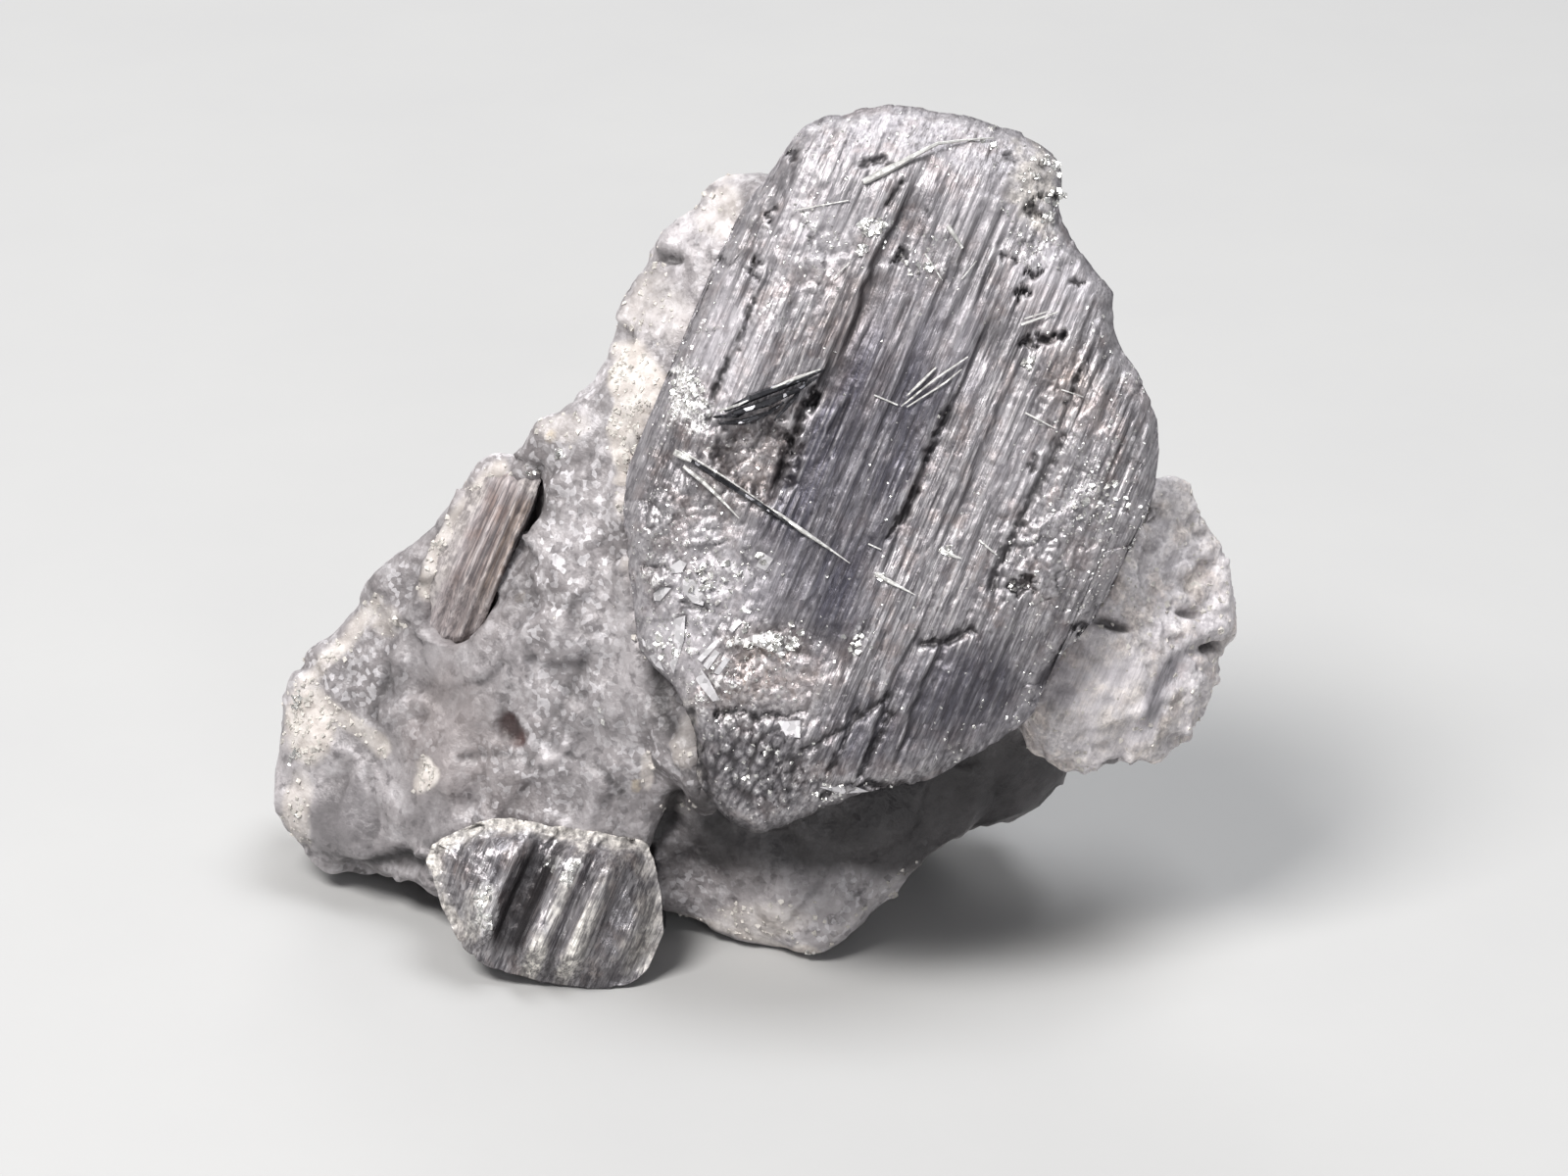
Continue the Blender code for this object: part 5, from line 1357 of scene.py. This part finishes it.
def striae_group():
    """Fine threads along the striae: their height, and slow streaks and short dashes drawn out the same way."""
    tree, given, end = group_tree(
        "striae threads", {"Position": None, "Threads per metre": 16000.0}, ("Height", "Streaks", "Dashes"))
    x, y, z = (
        vector_maths(tree, "DOT_PRODUCT", given["Position"], tuple(way * stretch))
        for way, stretch in ((ACROSS_WAY, 1.0), (ALONG_WAY, 0.035), (W_WAY, 0.5))
    )
    drawn = add(tree, "ShaderNodeCombineXYZ", X=x, Y=y, Z=z)["Vector"]
    per_metre = given["Threads per metre"]
    shorter = vector_maths(tree, "MULTIPLY", drawn, (1.0, 7.0, 1.0))
    dashes = add(tree, "ShaderNodeTexVoronoi", Vector=shorter, Scale=per_metre * 0.6)["Color"]
    fill(end, Height=noise(tree, drawn, per_metre, 2.0, 0.6), Streaks=noise(tree, drawn, per_metre * 0.24, 3.0, 0.6),
         Dashes=channel(tree, dashes, "Red"))
    return tree


def grit_group():
    """Fine grit: its height, a speckle of lighter and darker grains, and a slow mottle."""
    tree, given, end = group_tree(
        "mineral grit", {"Position": None, "Grains per metre": 7000.0}, ("Height", "Speckle", "Mottle"))
    place, per_metre = given["Position"], given["Grains per metre"]
    cells = add(tree, "ShaderNodeTexVoronoi", Vector=place, Scale=per_metre)["Color"]
    fill(end, Height=noise(tree, place, per_metre, 3.0, 0.65), Speckle=channel(tree, cells, "Green"),
         Mottle=noise(tree, place, per_metre * 0.12, 4.0, 0.6))
    return tree


SPARKLE, STRIAE, GRIT = sparkle_group(), striae_group(), grit_group()


class Finish:
    """A material with its shader and what its colours are worked out from."""

    def __init__(self, name):
        self.material = bpy.data.materials.new(name)
        self.material.use_nodes = True
        self.tree = self.material.node_tree
        self.place = add(self.tree, "ShaderNodeTexCoord")["Object"]

    def painted(self, *keys):
        """The values painted on the mesh under these names."""
        return [add(self.tree, "ShaderNodeAttribute", {"attribute_name": key})["Fac"] for key in keys]

    def use(self, group, **values):
        """What a node group gives at the places of this material."""
        return add(self.tree, "ShaderNodeGroup", {"node_tree": group}, Position=self.place, **values)

    def bump(self, strength, distance, **values):
        """A normal tilted by a height; it may start from another normal."""
        return add(self.tree, "ShaderNodeBump", Strength=strength, Distance=distance, **values)["Normal"]

    def made(self, **values):
        """Feeds the shader and gives the material."""
        fill(self.tree.nodes["Principled BSDF"].inputs, **values)
        return self.material


WARM_TINT = (1.15, 0.92, 0.80)
STAIN_BROWN, DEEP_SHADE, THREAD_GROOVE_SHADE = (0.23, 0.18, 0.155), (0.035, 0.032, 0.034), (0.06, 0.055, 0.062)
PALE_TONE_AND_LIGHT, LIT_CLEAVAGE, RAISED_HIGHLIGHT = (0.54, 0.515, 0.55), (0.54, 0.51, 0.525), (0.66, 0.64, 0.65)
FROST_AND_GLINT_WHITE, DIM_GRAIN, BRIGHT_GRAIN = (0.84, 0.825, 0.83), (0.58, 0.57, 0.585), (1.27, 1.27, 1.26)


def crystal_finish(name, steel, silver, tarnish, crust, roughness, metal):
    """Metallic lead-grey crystal: striated where smooth, sparkling where broken, tarnished and crusted."""
    finish = Finish(name)
    rough, dark, hollow, frost, band, crusted, proud, pale, brown = finish.painted(
        "rough", "dark", "hollow", "frost", "band", "crust", "proud", "pale", "brown")
    threads = finish.use(STRIAE, Threads_per_metre=19000.0)
    sparkle = finish.use(SPARKLE, Faces_per_metre=7500.0, Lean=0.6)
    grit = finish.use(GRIT, Grains_per_metre=11000.0)
    lumps = finish.use(GRIT, Grains_per_metre=3600.0)
    clear = 1.0 - pale * 0.72
    lines = stepped(threads["Streaks"], 0.56, 0.70) * 0.35
    lit = rough * clear * stepped(sparkle["Share"], 0.15, 0.75)
    white = stepped(frost + (grit["Speckle"] * 0.5 + proud * 0.25), 0.75, 1.25)
    soil = stepped(crusted + grit["Mottle"] * 0.7, 0.7, 1.2)
    base = laid_over(
        blended(stepped(threads["Streaks"], 0.35, 0.68), steel, silver),
        (stepped(grit["Mottle"], 0.48, 0.66) * 0.5, tuple(c * k for c, k in zip(steel, WARM_TINT))),
        (brown + lines * metal, STAIN_BROWN),
        (band * 0.95, tarnish),
        # the paler tone, partly painted light
        (pale * 0.7, PALE_TONE_AND_LIGHT),
        (lit * 0.35, LIT_CLEAVAGE),
        # a painted highlight on the proud places
        (proud * clear * 0.30, RAISED_HIGHLIGHT),
        # white for the frost marks, partly pale frost and partly painted glints
        (white, FROST_AND_GLINT_WHITE),
        (soil * 0.85, blended(stepped(lumps["Height"], 0.42, 0.60), tuple(c * 0.48 for c in crust), crust)),
    )
    grain = blended(rough, threads["Dashes"], grit["Speckle"])
    base = blended(clear, base, blended(grain, DIM_GRAIN, BRIGHT_GRAIN), "MULTIPLY")
    # painted shade in the grooves between the fine threads
    groove_shade = stepped(threads["Height"], 0.52, 0.40) * (1.0 - rough)
    shade = (dark * 0.88).or_higher(hollow * (clear * 0.5))
    base = laid_over(base, (groove_shade * clear * 0.60, THREAD_GROOVE_SHADE), (shade, DEEP_SHADE))
    dull = roughness + soil * 0.4 + 0.2 - clear * 0.2
    shine = metal - soil * (metal * 0.9) - white * (metal * 0.4)
    striated = finish.bump(0.6, 0.00004, Height=threads["Height"])
    normal = blended(rough * clear * 0.7, striated, sparkle["Normal"], kind="Vector")
    normal = vector_maths(finish.tree, "NORMALIZE", normal)
    return finish.made(Base_Color=base, Roughness=dull + white * 0.15, Metallic=shine * clear,
                       Normal=finish.bump(0.4, 0.00003, Height=grit["Height"], Normal=normal))


DULL_ROCK, LIGHT_ROCK = (0.215, 0.198, 0.202), (0.42, 0.395, 0.405)
PALE_GRAINS, DARK_GRAINS = (0.60, 0.575, 0.59), (0.14, 0.13, 0.135)
WHITE_FLECKS, BLACK_SPECKS = (0.74, 0.72, 0.745), (0.12, 0.11, 0.115)
DARK_SLATE, PALE_SLATE = (0.088, 0.083, 0.087), (0.176, 0.165, 0.171)
DULL_CHALK, BRIGHT_CHALK = (0.56, 0.51, 0.475), (0.72, 0.675, 0.64)
ROCK_BROWN, ROCK_YELLOW, ROCK_RED = (0.192, 0.163, 0.157), (0.68, 0.55, 0.34), (0.085, 0.048, 0.046)
HOLLOW_SHADE, GAP_SHADE_BLACK = (0.095, 0.088, 0.09), (0.022, 0.020, 0.021)


def matrix_finish():
    """Pale granular rock with cream crust, grey and brown patches and a little yellow."""
    finish = Finish("granular matrix")
    crust, dark, brown, yellow, hollow, grainy, red, gap = finish.painted(
        "crust", "dark", "brown", "yellow", "hollow", "rough", "red", "gap")
    broad = finish.use(GRIT, Grains_per_metre=1700.0)
    grit = finish.use(GRIT, Grains_per_metre=6500.0)
    sparkle = finish.use(SPARKLE, Faces_per_metre=5200.0, Lean=0.28)
    mottle = stepped(broad["Mottle"], 0.36, 0.62)
    cream = stepped(crust + grit["Mottle"] * 0.5, 0.45, 1.05)
    base = laid_over(
        blended(mottle, DULL_ROCK, LIGHT_ROCK),
        (stepped(broad["Height"], 0.5, 0.70) * 0.65, PALE_GRAINS),
        (stepped(broad["Height"], 0.46, 0.34) * 0.75, DARK_GRAINS),
        (stepped(grit["Speckle"], 0.6, 0.95) * (grainy * 0.65), WHITE_FLECKS),
        (stepped(sparkle["Share"], 0.84, 0.92) * 0.35, BLACK_SPECKS),
        (dark * 0.8, blended(mottle, DARK_SLATE, PALE_SLATE)),
        (brown * 0.6, ROCK_BROWN),
        (cream * 0.9, blended(stepped(broad["Height"], 0.40, 0.62), DULL_CHALK, BRIGHT_CHALK)),
        (stepped(yellow, 0.2, 1.0) * 0.6, ROCK_YELLOW),
        # painted shade in the hollows and gaps, and the painted shadow on the plate
        (hollow * 0.6, HOLLOW_SHADE),
        (red * 0.9, ROCK_RED),
        (gap * 0.9, GAP_SHADE_BLACK),
    )
    return finish.made(Base_Color=base, Roughness=0.50 + cream * 0.3, Metallic=(1.0 - cream) * 0.12,
                       Normal=finish.bump(0.6, 0.00006, Height=grit["Height"], Normal=sparkle["Normal"]))


def plain_finish(name, colour, roughness, metal, faces, lean):
    """Bright or black cleavage metal for the needles and chips."""
    finish = Finish(name)
    sparkle = finish.use(SPARKLE, Faces_per_metre=faces, Lean=lean)
    mottle = finish.use(GRIT, Grains_per_metre=9000.0)["Mottle"]
    return finish.made(Base_Color=blended(sparkle["Share"], tuple(c * 0.55 for c in colour), colour),
                       Roughness=roughness + mottle * 0.2, Metallic=metal, Normal=sparkle["Normal"])


def floor_finish():
    """Plain pale matt card."""
    finish = Finish("pale card")
    mottle = finish.use(GRIT, Grains_per_metre=900.0)["Mottle"]
    return finish.made(Base_Color=blended(mottle, (0.40, 0.40, 0.40), (0.425, 0.425, 0.42)), Roughness=0.85)


# ---------------------------------------------------------------- making the specimen

GREY_METAL, NO_TARNISH = (0.20, 0.19, 0.20), (0.1, 0.1, 0.1)


def settle_piece(obj, material, slot, *nodes):
    """Gives a piece its material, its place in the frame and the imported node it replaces."""
    obj.data.materials.clear()
    obj.data.materials.append(material)
    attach(obj, "root")
    if nodes:
        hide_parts(*nodes)


def cut_at_floor(obj):
    """Takes off what a crystal has below the table and closes the cut."""
    bm = bmesh.new()
    bm.from_mesh(obj.data)
    geometry = bm.verts[:] + bm.edges[:] + bm.faces[:]
    cut = bmesh.ops.bisect_plane(bm, geom=geometry, plane_co=(0, 0, 0), plane_no=(0, 0, 1), clear_inner=True)
    rim = [item for item in cut["geom_cut"] if isinstance(item, bmesh.types.BMEdge)]
    bmesh.ops.holes_fill(bm, edges=rim, sides=0)
    bm.to_mesh(obj.data)
    bm.free()


def make_specimen():
    """The crystals, the matrix and the small things that lie on them."""
    steel = crystal_finish(
        "lead-grey crystal", GREY_METAL, silver=(0.42, 0.405, 0.42), tarnish=(0.060, 0.058, 0.079),
        crust=(0.61, 0.575, 0.54), roughness=0.38, metal=0.60)
    dark_steel = crystal_finish(
        "dark fluted crystal", GREY_METAL, silver=(0.46, 0.445, 0.46), tarnish=NO_TARNISH, crust=(0.90, 0.86, 0.80),
        roughness=0.26, metal=0.6)
    brown = crystal_finish(
        "brown blade", (0.225, 0.188, 0.182), silver=(0.40, 0.345, 0.338), tarnish=NO_TARNISH,
        crust=(0.52, 0.485, 0.465), roughness=0.52, metal=0.15)
    crusted = crystal_finish(
        "crusted crystal", (0.58, 0.545, 0.555), silver=(0.86, 0.82, 0.825), tarnish=(0.20, 0.20, 0.25),
        crust=(0.86, 0.80, 0.73), roughness=0.45, metal=0.2)
    bright = plain_finish("bright cleavage", (0.92, 0.91, 0.88), 0.16, 0.85, faces=9000.0, lean=0.5)
    black = plain_finish("black glossy laths", (0.10, 0.10, 0.11), 0.10, 0.8, faces=5000.0, lean=0.7)
    pale = plain_finish("pale crumbs", (0.70, 0.665, 0.62), 0.5, 0.0, faces=8000.0, lean=0.4)
    white = plain_finish("pale needles", (0.90, 0.89, 0.86), 0.26, 0.55, faces=9000.0, lean=0.35)
    flat = plain_finish("pale cleavage plates", (0.69, 0.675, 0.695), 0.42, 0.20, faces=5200.0, lean=0.30)

    face = crystal_mesh("andorite_face", SLAB_OUTLINE, stripes=304, rows=228, thick=SLAB_THICK, front_form=face_form,
                        rear_form=back_form, levels=22, jag=SLAB_JAG, seed=SLAB_SEED)
    settle_piece(face, steel, "andorite_crystal", "andorite_crystal")
    fluted = crystal_mesh("fluted_face", FLUTED_OUTLINE, stripes=160, rows=88, thick=FLUTED_THICK,
                          front_form=fluted_form, rear_form=plain_back, levels=18, jag=0.08, seed=500)
    cut_at_floor(fluted)
    settle_piece(fluted, dark_steel, "fluted_crystal", "fluted_crystal")
    blade = crystal_mesh("blade_face", blade_corners(BLADE_OUTLINE), stripes=64, rows=84, thick=BLADE_THICK,
                         front_form=blade_form, rear_form=plain_back, levels=8, jag=0.16, seed=600)
    settle_piece(blade, brown, "blade_crystal", "blade_crystal")
    side = side_rock()
    settle_piece(side, crusted, "side_crystal", "side_crystal")
    rock = matrix_rock()
    settle_piece(rock, matrix_finish(), "matrix", "matrix")

    height_at = face_height()
    for name, runs, material in (("face_needles", NEEDLES, white), ("black_laths", BLACK_LATHS, black)):
        rods = joined(name, [rod(points, lift, height_at) for points, lift in runs])
        settle_piece(rods, material, "andorite_crystal")

    rng = np.random.default_rng(12)
    fluted_weights = np.maximum(0, finish_values(fluted, "frost") - 0.3) ** 2
    fluted_glints = scattered("fluted_glints", fluted, rng, 46, fluted_weights, low=0.10, high=0.24, flatness=0.4)
    settle_piece(fluted_glints, bright, "fluted_crystal")
    settle_piece(glint_flakes(rng, height_at), bright, "andorite_crystal")
    settle_piece(bedded_plates(np.random.default_rng(31), height_at), flat, "andorite_crystal")
    front = smooth(mesh_arrays(face.data)[1] @ W_WAY, 0.2, 0.6)
    face_weights = front * (0.13 + 0.5 * finish_values(face, "rough") + finish_values(face, "frost")) ** 2
    above = smooth(mesh_arrays(rock.data)[0][:, 2] / MM, 0.3, 0.8)
    rock_weights = above * (0.015 + finish_values(rock, "crust")) ** 2
    for name, bed, count, weights, low, high, flatness, material, slot in (
        ("face_flakes", face, 2600, face_weights, 0.04, 0.11, 0.35, bright, "andorite_crystal"),
        ("matrix_crumbs", rock, 1200, rock_weights, 0.07, 0.18, 0.7, pale, "matrix"),
        ("matrix_glints", rock, 90, finish_values(rock, "glint") ** 2, 0.08, 0.22, 0.4, bright, "matrix"),
        ("side_crumbs", side, 620, (0.2 + finish_values(side, "rough")) ** 2, 0.08, 0.20, 0.4, pale, "side_crystal"),
    ):
        settle_piece(scattered(name, bed, rng, count, weights, low, high, flatness), material, slot)


# ---------------------------------------------------------------- table, light and camera
# Places and sizes here are in metres.

LIGHT_AIM = (0.0, 0.0, 0.012)
LIGHTS = (  # name, place, size, power and colour
    ("key", (-0.12, -0.12, 0.27), (0.13, 0.10), 1.24, (1.0, 0.98, 0.96)),
    ("top", (0.07, 0.03, 0.33), (0.20, 0.14), 0.8, (0.97, 0.98, 1.0)),
    ("front", (0.10, -0.36, 0.16), (0.10, 0.10), 0.22, (0.97, 0.98, 1.0)),
    ("back", (-0.05, 0.30, 0.14), (0.16, 0.12), 0.35, (1.0, 1.0, 1.0)),
)
SKY_COLOUR, SKY_STRENGTH = (0.93, 0.95, 1.0, 1), 0.18
TABLE_HALF = 1.5
CAMERA_PLACE = (0.00103, -0.14143, 0.07580)
CAMERA_TILT = math.radians(65)
SENSOR_WIDTH, LENS_LENGTH = 36.0, 126.76
NEAREST_SEEN, FARTHEST_SEEN = 0.005, 10.0


def area_light(name, place, size, power, colour):
    """A soft rectangular light turned towards the specimen's middle."""
    light = bpy.data.lights.new(name, "AREA")
    light.shape = "RECTANGLE"
    light.size, light.size_y = size
    light.energy = power
    light.color = colour
    obj = new_object(name, light)
    obj.location = place
    way = np.array(LIGHT_AIM) - np.array(place)
    yaw = math.atan2(way[1], way[0]) - math.pi / 2
    pitch = math.atan2(way[2], math.hypot(way[0], way[1])) + math.pi / 2
    obj.rotation_euler = (pitch, 0, yaw)


def make_studio():
    """The table top, the lights, the sky and the camera."""
    bm = bmesh.new()
    bmesh.ops.create_grid(bm, x_segments=24, y_segments=24, size=TABLE_HALF)
    mesh = bpy.data.meshes.new("table_top")
    bm.to_mesh(mesh)
    bm.free()
    floor = new_object("table_top", mesh)
    floor.data.materials.append(floor_finish())

    world = bpy.data.worlds.new("studio")
    world.use_nodes = True
    sky = world.node_tree.nodes["Background"].inputs
    sky["Color"].default_value, sky["Strength"].default_value = SKY_COLOUR, SKY_STRENGTH
    bpy.context.scene.world = world
    for light in LIGHTS:
        area_light(*light)

    camera = bpy.data.cameras.new("camera")
    camera.sensor_width, camera.lens = SENSOR_WIDTH, LENS_LENGTH
    camera.clip_start, camera.clip_end = NEAREST_SEEN, FARTHEST_SEEN
    view = new_object("camera", camera)
    view.location = CAMERA_PLACE
    view.rotation_euler = (CAMERA_TILT, 0, 0)
    bpy.context.scene.camera = view
    bpy.context.scene.view_settings.view_transform = "Standard"


make_specimen()
make_studio()
